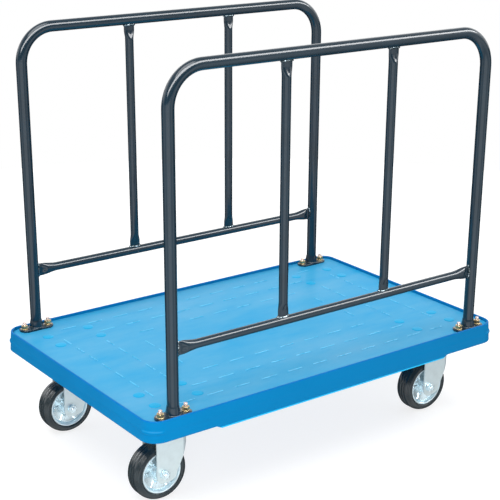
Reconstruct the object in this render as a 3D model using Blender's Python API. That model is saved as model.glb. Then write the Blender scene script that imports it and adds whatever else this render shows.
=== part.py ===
"""Platform cart: a moulded resin deck on four pressed-steel casters, with a tubular hoop
standing along each long side.

Metres, +Z up. X runs along the deck and Y across it. The origin is on the floor under the
middle of the deck. Front is -Y and left is -X. The two casters at the left end swivel, and
the two at the right end are fixed.
"""

import math

import bmesh
import bpy
from mathutils import Matrix, Vector

# Clearances
GAP = 0.0003                     # between two pieces that touch
OVERRUN = 0.002                  # how far a cutter runs past the face that it cuts

# Deck
DECK_LENGTH = 0.900
DECK_WIDTH = 0.594
DECK_CORNER_RADIUS = 0.036
SKIRT_HEIGHT = 0.0433            # from the skirt's lower edge to the top of the rim
SKIRT_WALL = 0.0045
SKIRT_DRAFT = 0.0030             # how far the skirt leans in on its way up
RIM_HEIGHT = 0.0070              # how far the rim stands above the load surface
RIM_WIDTH = 0.0045
RIM_ROUND = 0.0021
FLOOR_FILLET = 0.0008
FIELD_MARGIN = 0.0030            # between the feet and the open field where loads rest
FIELD_CORNER_RADIUS = 0.0100
DECK_SKIN = 0.0050
RIB_WALL = 0.0040
POCKET_TARGET = 0.078            # the pockets between the ribs come out about this wide
CORNER_BUMP_PROUD = 0.0022
CORNER_BUMP_HEIGHT = 0.0095
CORNER_BUMP_DEPTH = 0.0225       # from the top of the rim to the middle of the bump
LIP_END_INSET = 0.145            # from the deck's end to the deeper stretch of a long skirt
LIP_DROP = 0.0053
LIP_PROUD = 0.0008
LIP_BEAD = 0.0022
LIP_END_RUN = 0.0060
PAD_LENGTH = 0.130               # solid blocks that carry the casters
PAD_WIDTH = 0.090
PAD_DROP = 0.0053                # how far the pads hang below the skirt
BOSS_RECESS = 0.0100             # room for the heads of the foot bolts
BOSS_MARGIN = 0.0045
CORNER_STEPS = 6

# Hoops
POST_INSET_X = 0.0662            # from the deck's end to the middle of a post
POST_INSET_Y = 0.0244            # from the deck's long side to the middle of a post
HOOP_HEIGHT = 0.6442             # from the load surface to the middle of the top tube
TUBE_DIAMETER = 0.0230
BEND_RADIUS = 0.072
TUBE_SIDES = 16
BEND_STEPS = 8

# Lower rails and upright bars
RAIL_HEIGHT = 0.1320             # from the load surface to the middle of the rail
BAR_SPACING = 0.2584
SMALL_TUBE_DIAMETER = 0.0180
FLAT_HEIGHT = 0.0248             # pressed flat where a rail or bar is welded on
FLAT_THICKNESS = 0.0056
RAIL_FLAT_LENGTH = 0.008
RAIL_TAPER_LENGTH = 0.056
BAR_FLAT_LENGTH = 0.013
BAR_TAPER_LENGTH = 0.016
SMALL_TUBE_SIDES = 12

# Feet of the hoops
FOOT_LENGTH = 0.078
FOOT_WIDTH = 0.0310
FOOT_THICKNESS = 0.0045
FOOT_BOLT_SPACING = 0.056
COLLAR_WALL = 0.0026
COLLAR_HEIGHT = 0.0170
COLLAR_TAPER = 0.0045            # the collar draws in to the post over its top end
COLLAR_LIP = 0.0008
SOCKET_FLOOR = 0.0080            # from the foot's lower face to the post's end
FOOT_END_STEPS = 6

# Foot bolts and nuts
BOLT_DIAMETER = 0.0080
BOLT_HEAD_FLATS = 0.0130
BOLT_HEAD_HEIGHT = 0.0053
BOLT_TIP = 0.0065                # how far the bolt stands out of its nut
BOLT_TIP_CHAMFER = 0.0010
NUT_FLATS = 0.0130
NUT_HEIGHT = 0.0075
NUT_FLANGE_DIAMETER = 0.0158
NUT_FLANGE_HEIGHT = 0.0016
BOLT_SIDES = 12

# Casters
CASTER_INSET_X = 0.112           # from the deck's end to the middle of a mounting plate
CASTER_INSET_Y = 0.112           # from the deck's long side to the middle of a mounting plate
CASTER_HEIGHT = 0.169            # from the floor to the top of the mounting plate
TRAIL = 0.030                    # how far a swivel caster's axle lies behind its pin
PLATE_LENGTH = 0.122
PLATE_WIDTH = 0.080
PLATE_THICKNESS = 0.0040
PLATE_CORNER_RADIUS = 0.009
PLATE_BOLT_SPACING_X = 0.097
PLATE_BOLT_SPACING_Y = 0.057
PLATE_NUT_HEIGHT = 0.0065
PLATE_BOLT_TIP = 0.0020
HEAD_HEIGHT = 0.0120             # between the mounting plate and the fork's crown
HEAD_DIAMETER = 0.044
HEAD_TAPER = 0.0040
RACE_HEIGHT = 0.0062
RACE_GROOVE = 0.0014
HEAD_SIDES = 16
KINGPIN_DIAMETER = 0.012
KINGPIN_HEAD_DIAMETER = 0.022
KINGPIN_HEAD_HEIGHT = 0.0050
KINGPIN_SIDES = 12

# Forks
FORK_SHEET = 0.0030
FORK_CROWN = 0.0040
FORK_SIDE_CLEARANCE = 0.0025     # between the tyre and the inside of a leg
FORK_BACK = 0.0150               # from the axle to the upright edge of the leg
FORK_NOSE = 0.0560               # from the axle to the closed side of the fork
FORK_NOSE_RADIUS = 0.0160
FORK_SHOULDER = 0.0110           # from the crown down to where a swivel fork starts to draw in
FORK_CROWN_INSET = 0.0040
FIXED_CROWN_INSET = 0.0080
FORK_TIP_DROP = 0.0195           # from the axle down to the leg's lower end
FORK_TIP_FLAT = 0.0100
FORK_TIP_RADIUS = 0.0140
FORK_TOE = 0.0340                # where the leg's slanted edge crosses the axle's height
FORK_KNEE = 0.0480               # a kink in the slanted edge, from the axle
FORK_KNEE_HEIGHT = 0.0305
FORK_SLANT_HEIGHT = 0.0580       # above the axle, where the slanted edge meets the nose
FORK_NOSE_STEPS = 4
FORK_TIP_STEPS = 4

# Wheels
WHEEL_DIAMETER = 0.1175
WHEEL_WIDTH = 0.0425
TYRE_SHOULDER = 0.0120
TYRE_CROWN_DROP = 0.0022
TYRE_WALL_DROP = 0.0085
TYRE_SEAT_INSET = 0.0030
DISC_DIAMETER = 0.0872
DISC_LIP_INSET = 0.0022          # the disc's curled lip lies this far inside the tyre's side
DISC_LIP_WIDTH = 0.0028
DISC_WEB_HALF = 0.0070
DISC_DISH = 0.0040
RIB_PROUD = 0.0030
RIB_INNER_RADIUS = 0.0200
RIB_OUTER_RADIUS = 0.0355
HUB_DIAMETER = 0.0300
HUB_SIDE_CLEARANCE = 0.0012      # between the hub's end and the leg
BUSH_WALL = 0.0032
RIB_COUNT = 6
STEPS_PER_RIB = 4

# Axles
AXLE_DIAMETER = 0.0100
AXLE_HEAD_FLATS = 0.0165
AXLE_HEAD_HEIGHT = 0.0064
AXLE_NUT_HEIGHT = 0.0080
AXLE_TIP = 0.0030
AXLE_TIP_CHAMFER = 0.0010
AXLE_SIDES = 12

# Worked out from the sizes above
WHEEL_STEPS = RIB_COUNT * STEPS_PER_RIB
WHEEL_RADIUS = WHEEL_DIAMETER / 2
AXLE_Z = WHEEL_RADIUS * math.cos(math.pi / WHEEL_STEPS)
PAD_Z = CASTER_HEIGHT + GAP
SKIRT_Z = PAD_Z + PAD_DROP
RIM_Z = SKIRT_Z + SKIRT_HEIGHT
FLOOR_Z = RIM_Z - RIM_HEIGHT
POCKET_Z = FLOOR_Z - DECK_SKIN
PLATE_Z = CASTER_HEIGHT - PLATE_THICKNESS
CROWN_Z = PLATE_Z - HEAD_HEIGHT
FIXED_CROWN_Z = PLATE_Z - GAP
PIN_TOP_Z = PLATE_Z + PLATE_THICKNESS / 2
FOOT_Z = FLOOR_Z + GAP
POST_Z = FOOT_Z + SOCKET_FLOOR + GAP
TOP_Z = FLOOR_Z + HOOP_HEIGHT
RAIL_Z = FLOOR_Z + RAIL_HEIGHT
POST_X = DECK_LENGTH / 2 - POST_INSET_X
HOOP_Y = DECK_WIDTH / 2 - POST_INSET_Y
CASTER_X = DECK_LENGTH / 2 - CASTER_INSET_X
CASTER_Y = DECK_WIDTH / 2 - CASTER_INSET_Y
LIP_HALF_LENGTH = DECK_LENGTH / 2 - LIP_END_INSET
FORK_INNER = WHEEL_WIDTH / 2 + FORK_SIDE_CLEARANCE
FORK_OUTER = FORK_INNER + FORK_SHEET
TUBE_RADIUS = TUBE_DIAMETER / 2
SMALL_TUBE_RADIUS = SMALL_TUBE_DIAMETER / 2

SIDES = (("front", -1), ("back", 1))
ENDS = (("left", -1), ("right", 1))


def clear_bore(shaft_radius, sides):
    """Corner radius of a polygonal bore whose flats stay clear of a shaft."""
    return (shaft_radius + GAP) / math.cos(math.pi / sides)


# Outlines

def circle(radius, sides, phase_share=0.0):
    """A polygon round the origin, its first corner turned by a share of one step."""
    return [
        (
            radius * math.cos(math.tau * (i + phase_share) / sides),
            radius * math.sin(math.tau * (i + phase_share) / sides),
        )
        for i in range(sides)
    ]


def hexagon(flats, sides):
    """A hexagon across its flats, with its sides split so that it has the given points."""
    corners = [Vector(p) for p in circle(flats / 2 / math.cos(math.pi / 6), 6)]
    split = sides // 6
    return [
        tuple(corners[i].lerp(corners[(i + 1) % 6], j / split))
        for i in range(6)
        for j in range(split)
    ]


def arc(centre, radius, start, end, steps):
    """Points along an arc, angles in degrees, both ends included."""
    turns = [math.radians(start + (end - start) * i / steps) for i in range(steps + 1)]
    return [(centre[0] + radius * math.cos(t), centre[1] + radius * math.sin(t)) for t in turns]


def rounded_rectangle(half_length, half_width, radius, steps, bulge=0.0):
    """A rectangle with round corners, each swollen outwards by bulge at its middle."""
    points = []
    for quarter, (side_x, side_y) in enumerate(((1, 1), (-1, 1), (-1, -1), (1, -1))):
        for i in range(steps + 1):
            turn = math.pi / 2 * (quarter + i / steps)
            reach = radius + bulge * math.sin(math.pi * i / steps)
            points.append((
                side_x * (half_length - radius) + reach * math.cos(turn),
                side_y * (half_width - radius) + reach * math.sin(turn),
            ))
    return points


# Solids

def loft(rings, endless=False):
    """A closed body through rings of equal point counts, capped unless it runs round."""
    mesh = bmesh.new()
    loops = [[mesh.verts.new(point) for point in ring] for ring in rings]
    pairs = list(zip(loops, loops[1:]))
    if endless:
        pairs.append((loops[-1], loops[0]))
    else:
        mesh.faces.new(reversed(loops[0]))
        mesh.faces.new(loops[-1])
    count = len(loops[0])
    for lower, upper in pairs:
        for i in range(count):
            j = (i + 1) % count
            mesh.faces.new((lower[i], lower[j], upper[j], upper[i]))
    bmesh.ops.recalc_face_normals(mesh, faces=mesh.faces)
    return mesh


def stacked(sections):
    """A body lofted upwards through (outline, height) sections."""
    return loft([[(x, y, z) for x, y in outline] for outline, z in sections])


def turned(profile, sides, phase_share=0.0):
    """A ring body: a closed (radius, height) profile turned about Z."""
    rings = [[(x, y, h) for x, y in circle(r, sides, phase_share)] for r, h in profile]
    return loft(rings, endless=True)


def box(low, high):
    """A box between two corners."""
    corners = [(low[0], low[1]), (high[0], low[1]), (high[0], high[1]), (low[0], high[1])]
    return stacked([(corners, low[2]), (corners, high[2])])


def side_prism(outline, low_y, high_y):
    """An (x, z) outline drawn out along Y."""
    return loft([[(x, y, z) for x, z in outline] for y in (low_y, high_y)])


def joined(meshes):
    """Several separate bodies in one mesh, for a cutter."""
    whole = bmesh.new()
    for part in meshes:
        scratch = bpy.data.meshes.new("scratch")
        part.to_mesh(scratch)
        part.free()
        whole.from_mesh(scratch)
        bpy.data.meshes.remove(scratch)
    return whole


def moved(mesh, x=0.0, y=0.0, z=0.0):
    """The same body in another place."""
    bmesh.ops.translate(mesh, verts=mesh.verts, vec=(x, y, z))
    return mesh


def laid_on_y(mesh):
    """A body turned about Z, laid so that its axis runs along Y and its top faces front."""
    bmesh.ops.rotate(mesh, verts=mesh.verts, matrix=Matrix.Rotation(math.pi / 2, 3, "X"))
    return mesh


# Objects

def paint(name, colour, roughness, metallic=0.0):
    """A plain Principled material."""
    material = bpy.data.materials.new(name)
    material.use_nodes = True
    shader = material.node_tree.nodes["Principled BSDF"]
    shader.inputs["Base Color"].default_value = (*colour, 1.0)
    shader.inputs["Roughness"].default_value = roughness
    shader.inputs["Metallic"].default_value = metallic
    return material


def data_from(mesh, name):
    """Mesh data from a bmesh, round pieces shaded smooth."""
    data = bpy.data.meshes.new(name)
    mesh.to_mesh(data)
    mesh.free()
    data.shade_smooth()
    data.set_sharp_from_angle(angle=math.radians(35))
    return data


def add(name, data, material, place=(0.0, 0.0, 0.0), parent=None):
    """One named sub-part."""
    item = bpy.data.objects.new(name, data)
    bpy.context.scene.collection.objects.link(item)
    item.location = place
    item.parent = parent
    if not data.materials:
        data.materials.append(material)
    return item


def pivot(name, place, parent=None):
    """An empty on a joint's axis, or at the seat of a group of pieces."""
    empty = bpy.data.objects.new(name, None)
    bpy.context.scene.collection.objects.link(empty)
    empty.location = place
    empty.parent = parent
    return empty


def combine(name, base, tools):
    """Mesh data of a base body after a row of (operation, body) Booleans."""
    item = bpy.data.objects.new(name, data_from(base, name))
    bpy.context.scene.collection.objects.link(item)
    cutters = []
    for number, (operation, tool) in enumerate(tools):
        cutter = bpy.data.objects.new(f"{name}_tool_{number}", data_from(tool, f"{name}_tool"))
        bpy.context.scene.collection.objects.link(cutter)
        cutters.append(cutter)
        step = item.modifiers.new(f"step_{number}", "BOOLEAN")
        step.operation = operation
        step.solver = "EXACT"
        step.object = cutter
    bpy.context.view_layer.update()
    scene_state = bpy.context.evaluated_depsgraph_get()
    result = bpy.data.meshes.new_from_object(item.evaluated_get(scene_state))
    for spent in [item] + cutters:
        bpy.data.objects.remove(spent)
    tidy = bmesh.new()
    tidy.from_mesh(result)
    bmesh.ops.dissolve_degenerate(tidy, dist=GAP / 100, edges=tidy.edges)
    tidy.to_mesh(result)
    tidy.free()
    result.name = name
    result.shade_smooth()
    result.set_sharp_from_angle(angle=math.radians(35))
    return result


# Deck

def deck_shell():
    """The skirt, rim and load surface, still solid underneath."""
    def ring(inset, height, bulge=0.0):
        outline = rounded_rectangle(
            DECK_LENGTH / 2 - inset, DECK_WIDTH / 2 - inset,
            DECK_CORNER_RADIUS - inset, CORNER_STEPS, bulge,
        )
        return outline, height

    def skirt(height, bulge=0.0):
        return ring(SKIRT_DRAFT * (height - SKIRT_Z) / SKIRT_HEIGHT, height, bulge)

    bump_z = RIM_Z - CORNER_BUMP_DEPTH
    corner = RIM_ROUND * (1 - math.cos(math.pi / 4))
    inner = SKIRT_DRAFT + RIM_WIDTH
    field = POST_INSET_Y + FOOT_WIDTH / 2 + FIELD_MARGIN
    field_outline = rounded_rectangle(
        DECK_LENGTH / 2 - field, DECK_WIDTH / 2 - field, FIELD_CORNER_RADIUS, CORNER_STEPS,
    )
    return stacked([
        skirt(SKIRT_Z),
        skirt(bump_z - CORNER_BUMP_HEIGHT / 2),
        skirt(bump_z, CORNER_BUMP_PROUD),
        skirt(bump_z + CORNER_BUMP_HEIGHT / 2),
        ring(SKIRT_DRAFT, RIM_Z - RIM_ROUND),
        ring(SKIRT_DRAFT + corner, RIM_Z - corner),
        ring(SKIRT_DRAFT + RIM_ROUND, RIM_Z),
        ring(inner - RIM_ROUND, RIM_Z),
        ring(inner - corner, RIM_Z - corner),
        ring(inner, RIM_Z - RIM_ROUND),
        ring(inner, FLOOR_Z + FLOOR_FILLET),
        ring(inner + FLOOR_FILLET, FLOOR_Z),
        (field_outline, FLOOR_Z),
    ])


def bays(low, high):
    """A stretch between two ribs, split into equal pockets of about the target width."""
    count = max(1, round((high - low) / POCKET_TARGET))
    width = (high - low) / count
    return [
        (low + width * i + RIB_WALL / 2, low + width * (i + 1) - RIB_WALL / 2)
        for i in range(count)
    ]


def mirrored(spans):
    """Spans on the positive side, with their mirror images."""
    return spans + [(-high, -low) for low, high in spans]


def deck_pockets():
    """The hollows between the ribs, open below, and the recesses under the feet."""
    pad_inner_x = CASTER_X - PAD_LENGTH / 2
    pad_outer_x = CASTER_X + PAD_LENGTH / 2
    pad_inner_y = CASTER_Y - PAD_WIDTH / 2
    pad_outer_y = CASTER_Y + PAD_WIDTH / 2
    wall_x = DECK_LENGTH / 2 - SKIRT_DRAFT - SKIRT_WALL + RIB_WALL / 2
    wall_y = DECK_WIDTH / 2 - SKIRT_DRAFT - SKIRT_WALL + RIB_WALL / 2
    boss_x = POST_X - FOOT_LENGTH / 2 - BOSS_MARGIN
    boss_end_x = POST_X + FOOT_LENGTH / 2 + BOSS_MARGIN

    middle_x = bays(-pad_inner_x, pad_inner_x)
    pad_x = mirrored(bays(pad_inner_x, pad_outer_x))
    end_x = mirrored(bays(pad_outer_x, wall_x))
    middle_y = bays(-pad_inner_y, pad_inner_y)
    pad_y = mirrored(bays(pad_inner_y, pad_outer_y))
    edge_y = mirrored(bays(pad_outer_y, wall_y))
    beside_boss_x = mirrored(bays(pad_inner_x, boss_x))

    cells = [(x, y) for x in middle_x for y in middle_y + pad_y + edge_y]
    cells += [(x, y) for x in pad_x for y in middle_y]
    cells += [(x, y) for x in end_x for y in middle_y + pad_y]
    cells += [(x, y) for x in beside_boss_x for y in edge_y]
    low_z = SKIRT_Z - LIP_DROP - OVERRUN
    pockets = [box((x[0], y[0], low_z), (x[1], y[1], POCKET_Z)) for x, y in cells]
    boss_y = (pad_outer_y + RIB_WALL / 2, wall_y - RIB_WALL / 2)
    for x in mirrored([(boss_x + RIB_WALL / 2, boss_end_x)]):
        for y in mirrored([boss_y]):
            pockets.append(box((x[0], y[0], low_z), (x[1], y[1], SKIRT_Z + BOSS_RECESS)))
    return joined(pockets)


def deck_pads():
    """The blocks that the caster plates are bolted to."""
    return joined([
        box(
            (x * CASTER_X - PAD_LENGTH / 2, y * CASTER_Y - PAD_WIDTH / 2, PAD_Z),
            (x * CASTER_X + PAD_LENGTH / 2, y * CASTER_Y + PAD_WIDTH / 2, FLOOR_Z - DECK_SKIN / 2),
        )
        for _, x in ENDS
        for _, y in SIDES
    ])


def deck_lips():
    """The deeper middle stretch of both long skirts, with its slightly proud bead."""
    def lip(side):
        inner = DECK_WIDTH / 2 - SKIRT_WALL
        outer = DECK_WIDTH / 2
        section = [
            (inner, LIP_BEAD),
            (outer - LIP_PROUD, LIP_BEAD),
            (outer + LIP_PROUD, 0.0),
            (outer + LIP_PROUD, -LIP_DROP),
            (inner, -LIP_DROP),
        ]
        ends = []
        for end in (-1, 1):
            ends.append([
                (
                    end * (LIP_HALF_LENGTH - LIP_END_RUN * (LIP_BEAD - h) / (LIP_BEAD + LIP_DROP)),
                    side * y,
                    SKIRT_Z + h,
                )
                for y, h in section
            ])
        return loft(ends)
    return joined([lip(side) for _, side in SIDES])


def foot_bolt_places():
    """(name, x, y) of the eight bolts that hold the hoops' feet."""
    return [
        (f"{side_name}_{end_name}_{place_name}", end * POST_X + place * FOOT_BOLT_SPACING / 2,
         side * HOOP_Y)
        for side_name, side in SIDES
        for end_name, end in ENDS
        for place_name, place in (("a", -1), ("b", 1))
    ]


def deck_bolt_holes():
    """Holes for the foot bolts, through the bosses."""
    outline = circle(clear_bore(BOLT_DIAMETER / 2, BOLT_SIDES), BOLT_SIDES)
    return joined([
        moved(stacked([(outline, SKIRT_Z), (outline, FLOOR_Z + OVERRUN)]), x, y)
        for _, x, y in foot_bolt_places()
    ])


def build_deck(material):
    data = combine("deck", deck_shell(), [
        ("UNION", deck_pads()),
        ("UNION", deck_lips()),
        ("DIFFERENCE", deck_pockets()),
        ("DIFFERENCE", deck_bolt_holes()),
    ])
    add("deck", data, material)


# Hoops, rails and bars

def hoop_mesh():
    """A round tube bent to a U that stands on its two ends, in the XZ plane."""
    centre_x = POST_X - BEND_RADIUS
    centre_z = TOP_Z - BEND_RADIUS
    right = [(x + centre_x, z + centre_z) for x, z in arc((0, 0), BEND_RADIUS, 0, 90, BEND_STEPS)]
    turns = [90 * i / BEND_STEPS for i in range(BEND_STEPS + 1)]
    stations = [(POST_X, POST_Z, 0.0)]
    stations += [(x, z, turn) for (x, z), turn in zip(right, turns)]
    stations += [(-x, z, 180 - turn) for x, z, turn in reversed(stations)]
    rings = []
    for x, z, turn in stations:
        out = Vector((math.cos(math.radians(turn)), 0.0, math.sin(math.radians(turn))))
        across = Vector((0.0, 1.0, 0.0))
        rings.append([
            Vector((x, 0.0, z)) + out * a + across * b
            for a, b in circle(TUBE_RADIUS, TUBE_SIDES)
        ])
    return loft(rings)


def flat_ended_tube(length, flat_length, taper_length):
    """A tube along X whose two ends are pressed flat in the XZ plane."""
    half = length / 2
    flat = (FLAT_THICKNESS / 2, FLAT_HEIGHT / 2)
    middle_share = 0.5
    halfway = tuple(f + (SMALL_TUBE_RADIUS - f) * middle_share for f in flat)
    tube = (SMALL_TUBE_RADIUS, SMALL_TUBE_RADIUS)
    left = [
        (-half, flat),
        (-half + flat_length, flat),
        (-half + flat_length + taper_length * middle_share, halfway),
        (-half + flat_length + taper_length, tube),
    ]
    stations = left + [(-x, size) for x, size in reversed(left)]
    return loft([
        [(x, a * size[0], b * size[1]) for a, b in circle(1, SMALL_TUBE_SIDES)]
        for x, size in stations
    ])


def build_hoops(material):
    hoop = data_from(hoop_mesh(), "hoop")
    rail_length = 2 * (POST_X - TUBE_RADIUS - GAP)
    rail = data_from(flat_ended_tube(rail_length, RAIL_FLAT_LENGTH, RAIL_TAPER_LENGTH), "rail")
    bar_low = RAIL_Z + SMALL_TUBE_RADIUS + GAP
    bar_high = TOP_Z - TUBE_RADIUS - GAP
    bar_mesh = flat_ended_tube(bar_high - bar_low, BAR_FLAT_LENGTH, BAR_TAPER_LENGTH)
    bmesh.ops.rotate(bar_mesh, verts=bar_mesh.verts, matrix=Matrix.Rotation(math.pi / 2, 3, "Y"))
    bar = data_from(bar_mesh, "bar")
    for side_name, side in SIDES:
        add(f"{side_name}_hoop", hoop, material, (0, side * HOOP_Y, 0))
        add(f"{side_name}_lower_rail", rail, material, (0, side * HOOP_Y, RAIL_Z))
        for end_name, end in ENDS:
            place = (end * BAR_SPACING / 2, side * HOOP_Y, (bar_low + bar_high) / 2)
            add(f"{side_name}_bar_{end_name}", bar, material, place)


# Feet, bolts and nuts

def foot_data():
    """A plate with round ends and the collar that a post stands in, on its solid bottom."""
    end_radius = FOOT_WIDTH / 2
    run = FOOT_LENGTH / 2 - end_radius
    outline = arc((run, 0), end_radius, -90, 90, FOOT_END_STEPS)
    outline += arc((-run, 0), end_radius, 90, 270, FOOT_END_STEPS)
    plate = stacked([(outline, 0.0), (outline, FOOT_THICKNESS)])
    bore = clear_bore(TUBE_RADIUS, TUBE_SIDES)
    outside = bore + COLLAR_WALL
    sunk = FOOT_THICKNESS / 2
    top = FOOT_THICKNESS + COLLAR_HEIGHT
    collar = turned([
        (outside, sunk),
        (outside, top - COLLAR_TAPER),
        (bore + COLLAR_LIP, top),
        (bore, top),
        (bore, sunk),
    ], TUBE_SIDES)
    bottom = circle(bore + COLLAR_WALL / 2, TUBE_SIDES)
    bottom = stacked([(bottom, sunk), (bottom, SOCKET_FLOOR)])
    hole = circle(clear_bore(BOLT_DIAMETER / 2, BOLT_SIDES), BOLT_SIDES)
    holes = joined([
        moved(stacked([(hole, -OVERRUN), (hole, FOOT_THICKNESS + OVERRUN)]), x)
        for x in (-FOOT_BOLT_SPACING / 2, FOOT_BOLT_SPACING / 2)
    ])
    return combine("foot", plate, [("UNION", collar), ("UNION", bottom), ("DIFFERENCE", holes)])


def bolt_data():
    """A bolt that stands head down: its head lies under the boss, its tip above the nut."""
    under_head = SKIRT_Z + BOSS_RECESS - GAP
    tip_z = FOOT_Z + FOOT_THICKNESS + GAP + NUT_HEIGHT + BOLT_TIP
    head = hexagon(BOLT_HEAD_FLATS, BOLT_SIDES)
    shank = circle(BOLT_DIAMETER / 2, BOLT_SIDES)
    tip = circle(BOLT_DIAMETER / 2 - BOLT_TIP_CHAMFER, BOLT_SIDES)
    return data_from(stacked([
        (head, under_head - BOLT_HEAD_HEIGHT),
        (head, under_head),
        (shank, under_head),
        (shank, tip_z - BOLT_TIP_CHAMFER),
        (tip, tip_z),
    ]), "foot_bolt")


def nut_data():
    """A flange nut."""
    flange = circle(NUT_FLANGE_DIAMETER / 2, BOLT_SIDES)
    body = hexagon(NUT_FLATS, BOLT_SIDES)
    bore = circle(clear_bore(BOLT_DIAMETER / 2, BOLT_SIDES), BOLT_SIDES)
    sections = [
        (bore, 0.0),
        (flange, 0.0),
        (flange, NUT_FLANGE_HEIGHT),
        (body, NUT_FLANGE_HEIGHT),
        (body, NUT_HEIGHT),
        (bore, NUT_HEIGHT),
    ]
    return data_from(loft([[(x, y, z) for x, y in o] for o, z in sections], endless=True), "foot_nut")


def build_feet(paint_material, bolt_material):
    foot = foot_data()
    for side_name, side in SIDES:
        for end_name, end in ENDS:
            add(f"{side_name}_{end_name}_foot", foot, paint_material,
                (end * POST_X, side * HOOP_Y, FOOT_Z))
    bolt = bolt_data()
    nut = nut_data()
    for name, x, y in foot_bolt_places():
        add(f"foot_bolt_{name}", bolt, bolt_material, (x, y, 0))
        add(f"foot_nut_{name}", nut, bolt_material, (x, y, FOOT_Z + FOOT_THICKNESS + GAP))


# Casters

def plate_data(name, boss_height):
    """A mounting plate with its four bolts and nuts, and a boss below it for a ball race."""
    outline = rounded_rectangle(PLATE_LENGTH / 2, PLATE_WIDTH / 2, PLATE_CORNER_RADIUS, 2)
    plate = stacked([(outline, PLATE_Z), (outline, CASTER_HEIGHT)])
    hole = circle(clear_bore(KINGPIN_DIAMETER / 2, KINGPIN_SIDES), KINGPIN_SIDES)
    bore = stacked([(hole, PLATE_Z - boss_height - OVERRUN), (hole, PIN_TOP_Z)])
    nut = hexagon(BOLT_HEAD_FLATS, 6)
    tip = circle(BOLT_DIAMETER / 2, 6)
    nuts = joined([
        moved(stacked([
            (tip, PLATE_Z - PLATE_NUT_HEIGHT - PLATE_BOLT_TIP),
            (tip, PLATE_Z - PLATE_NUT_HEIGHT),
            (nut, PLATE_Z - PLATE_NUT_HEIGHT),
            (nut, PLATE_Z + PLATE_THICKNESS / 2),
        ]), x * PLATE_BOLT_SPACING_X / 2, y * PLATE_BOLT_SPACING_Y / 2)
        for _, x in ENDS
        for _, y in SIDES
    ])
    steps = [("UNION", nuts), ("DIFFERENCE", bore)]
    if boss_height:
        low = circle(HEAD_DIAMETER / 2, HEAD_SIDES)
        high = circle(HEAD_DIAMETER / 2 + HEAD_TAPER, HEAD_SIDES)
        boss = stacked([(low, PLATE_Z - boss_height), (high, PLATE_Z + PLATE_THICKNESS / 2)])
        steps.insert(0, ("UNION", boss))
    return combine(name, plate, steps)


def fork_side_outline(crown):
    """The leg seen from the side, about the axle: an upright back edge, a round tip and a
    slanted toe that runs up into the closed nose."""
    top = crown + OVERRUN
    back = -FORK_BACK
    drop = -FORK_TIP_DROP
    points = [(back - OVERRUN, top), (back - OVERRUN, drop + FORK_TIP_RADIUS)]
    points += arc((back + FORK_TIP_RADIUS, drop + FORK_TIP_RADIUS), FORK_TIP_RADIUS,
                  180, 270, FORK_TIP_STEPS)
    toe_start = back + FORK_TIP_RADIUS + FORK_TIP_FLAT
    toe_share = 0.45
    points += [
        (toe_start, drop),
        (toe_start + (FORK_TOE - toe_start) * (1 - toe_share), drop * (1 - toe_share)),
        (FORK_TOE, 0.0),
        (FORK_KNEE, FORK_KNEE_HEIGHT),
        (FORK_NOSE, FORK_SLANT_HEIGHT),
        (FORK_NOSE + OVERRUN, FORK_SLANT_HEIGHT),
        (FORK_NOSE + OVERRUN, top),
    ]
    return points


def fork_plan(inset, back):
    """The fork seen from above, about the axle: open at the back, closed round the nose."""
    half = FORK_OUTER - inset
    radius = FORK_NOSE_RADIUS - inset
    corner = (FORK_NOSE - inset - radius, half - radius)
    points = [(back, -half)]
    points += [(x, -y) for x, y in reversed(arc(corner, radius, 0, 90, FORK_NOSE_STEPS))]
    points += arc(corner, radius, 0, 90, FORK_NOSE_STEPS)
    points.append((back, half))
    return points


def fork_data(name, crown_z, crown_inset, pin_x):
    """A pressed fork about its axle, with holes for the axle and for the pin through its crown."""
    low = -FORK_TIP_DROP - OVERRUN
    shoulder = CROWN_Z - FORK_SHOULDER - AXLE_Z
    crown = crown_z - AXLE_Z
    leg = crown - FORK_CROWN
    inner_back = -FORK_BACK - OVERRUN
    outer = fork_plan(0.0, -FORK_BACK)
    inner = fork_plan(FORK_SHEET, inner_back)
    body = stacked([
        (outer, low),
        (outer, shoulder),
        (fork_plan(crown_inset, -FORK_BACK), crown),
    ])
    profile = side_prism(fork_side_outline(crown), -FORK_OUTER - OVERRUN, FORK_OUTER + OVERRUN)
    hollow = stacked([
        (inner, low - OVERRUN),
        (inner, shoulder),
        (fork_plan(FORK_SHEET + crown_inset, inner_back), leg),
    ])
    reach = FORK_OUTER + OVERRUN
    axle = circle(clear_bore(AXLE_DIAMETER / 2, AXLE_SIDES), AXLE_SIDES)
    axle_hole = laid_on_y(stacked([(axle, -reach), (axle, reach)]))
    pin = circle(clear_bore(KINGPIN_DIAMETER / 2, KINGPIN_SIDES), KINGPIN_SIDES)
    pin_hole = moved(stacked([(pin, leg - OVERRUN), (pin, crown + OVERRUN)]), pin_x)
    return combine(name, body, [
        ("INTERSECT", profile),
        ("DIFFERENCE", hollow),
        ("DIFFERENCE", axle_hole),
        ("DIFFERENCE", pin_hole),
    ])


def pin_data(name, crown_z):
    """The pin that holds a fork up: it is fast in the plate, and its head is under the crown."""
    shank = circle(KINGPIN_DIAMETER / 2, KINGPIN_SIDES)
    head = circle(KINGPIN_HEAD_DIAMETER / 2, KINGPIN_SIDES)
    under_crown = crown_z - FORK_CROWN - GAP
    return data_from(stacked([
        (head, under_crown - KINGPIN_HEAD_HEIGHT),
        (head, under_crown),
        (shank, under_crown),
        (shank, PIN_TOP_Z - GAP),
    ]), name)


def race_data():
    """The ball race between a swivel caster's boss and crown, with its groove outside."""
    bore = clear_bore(KINGPIN_DIAMETER / 2, HEAD_SIDES)
    outside = HEAD_DIAMETER / 2
    low = CROWN_Z + GAP
    high = CROWN_Z + RACE_HEIGHT
    middle = (low + high) / 2
    profile = [(bore, low), (outside, low), (outside - RACE_GROOVE, middle), (outside, high),
               (bore, high)]
    return data_from(turned(profile, HEAD_SIDES), "swivel_race")


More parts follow.
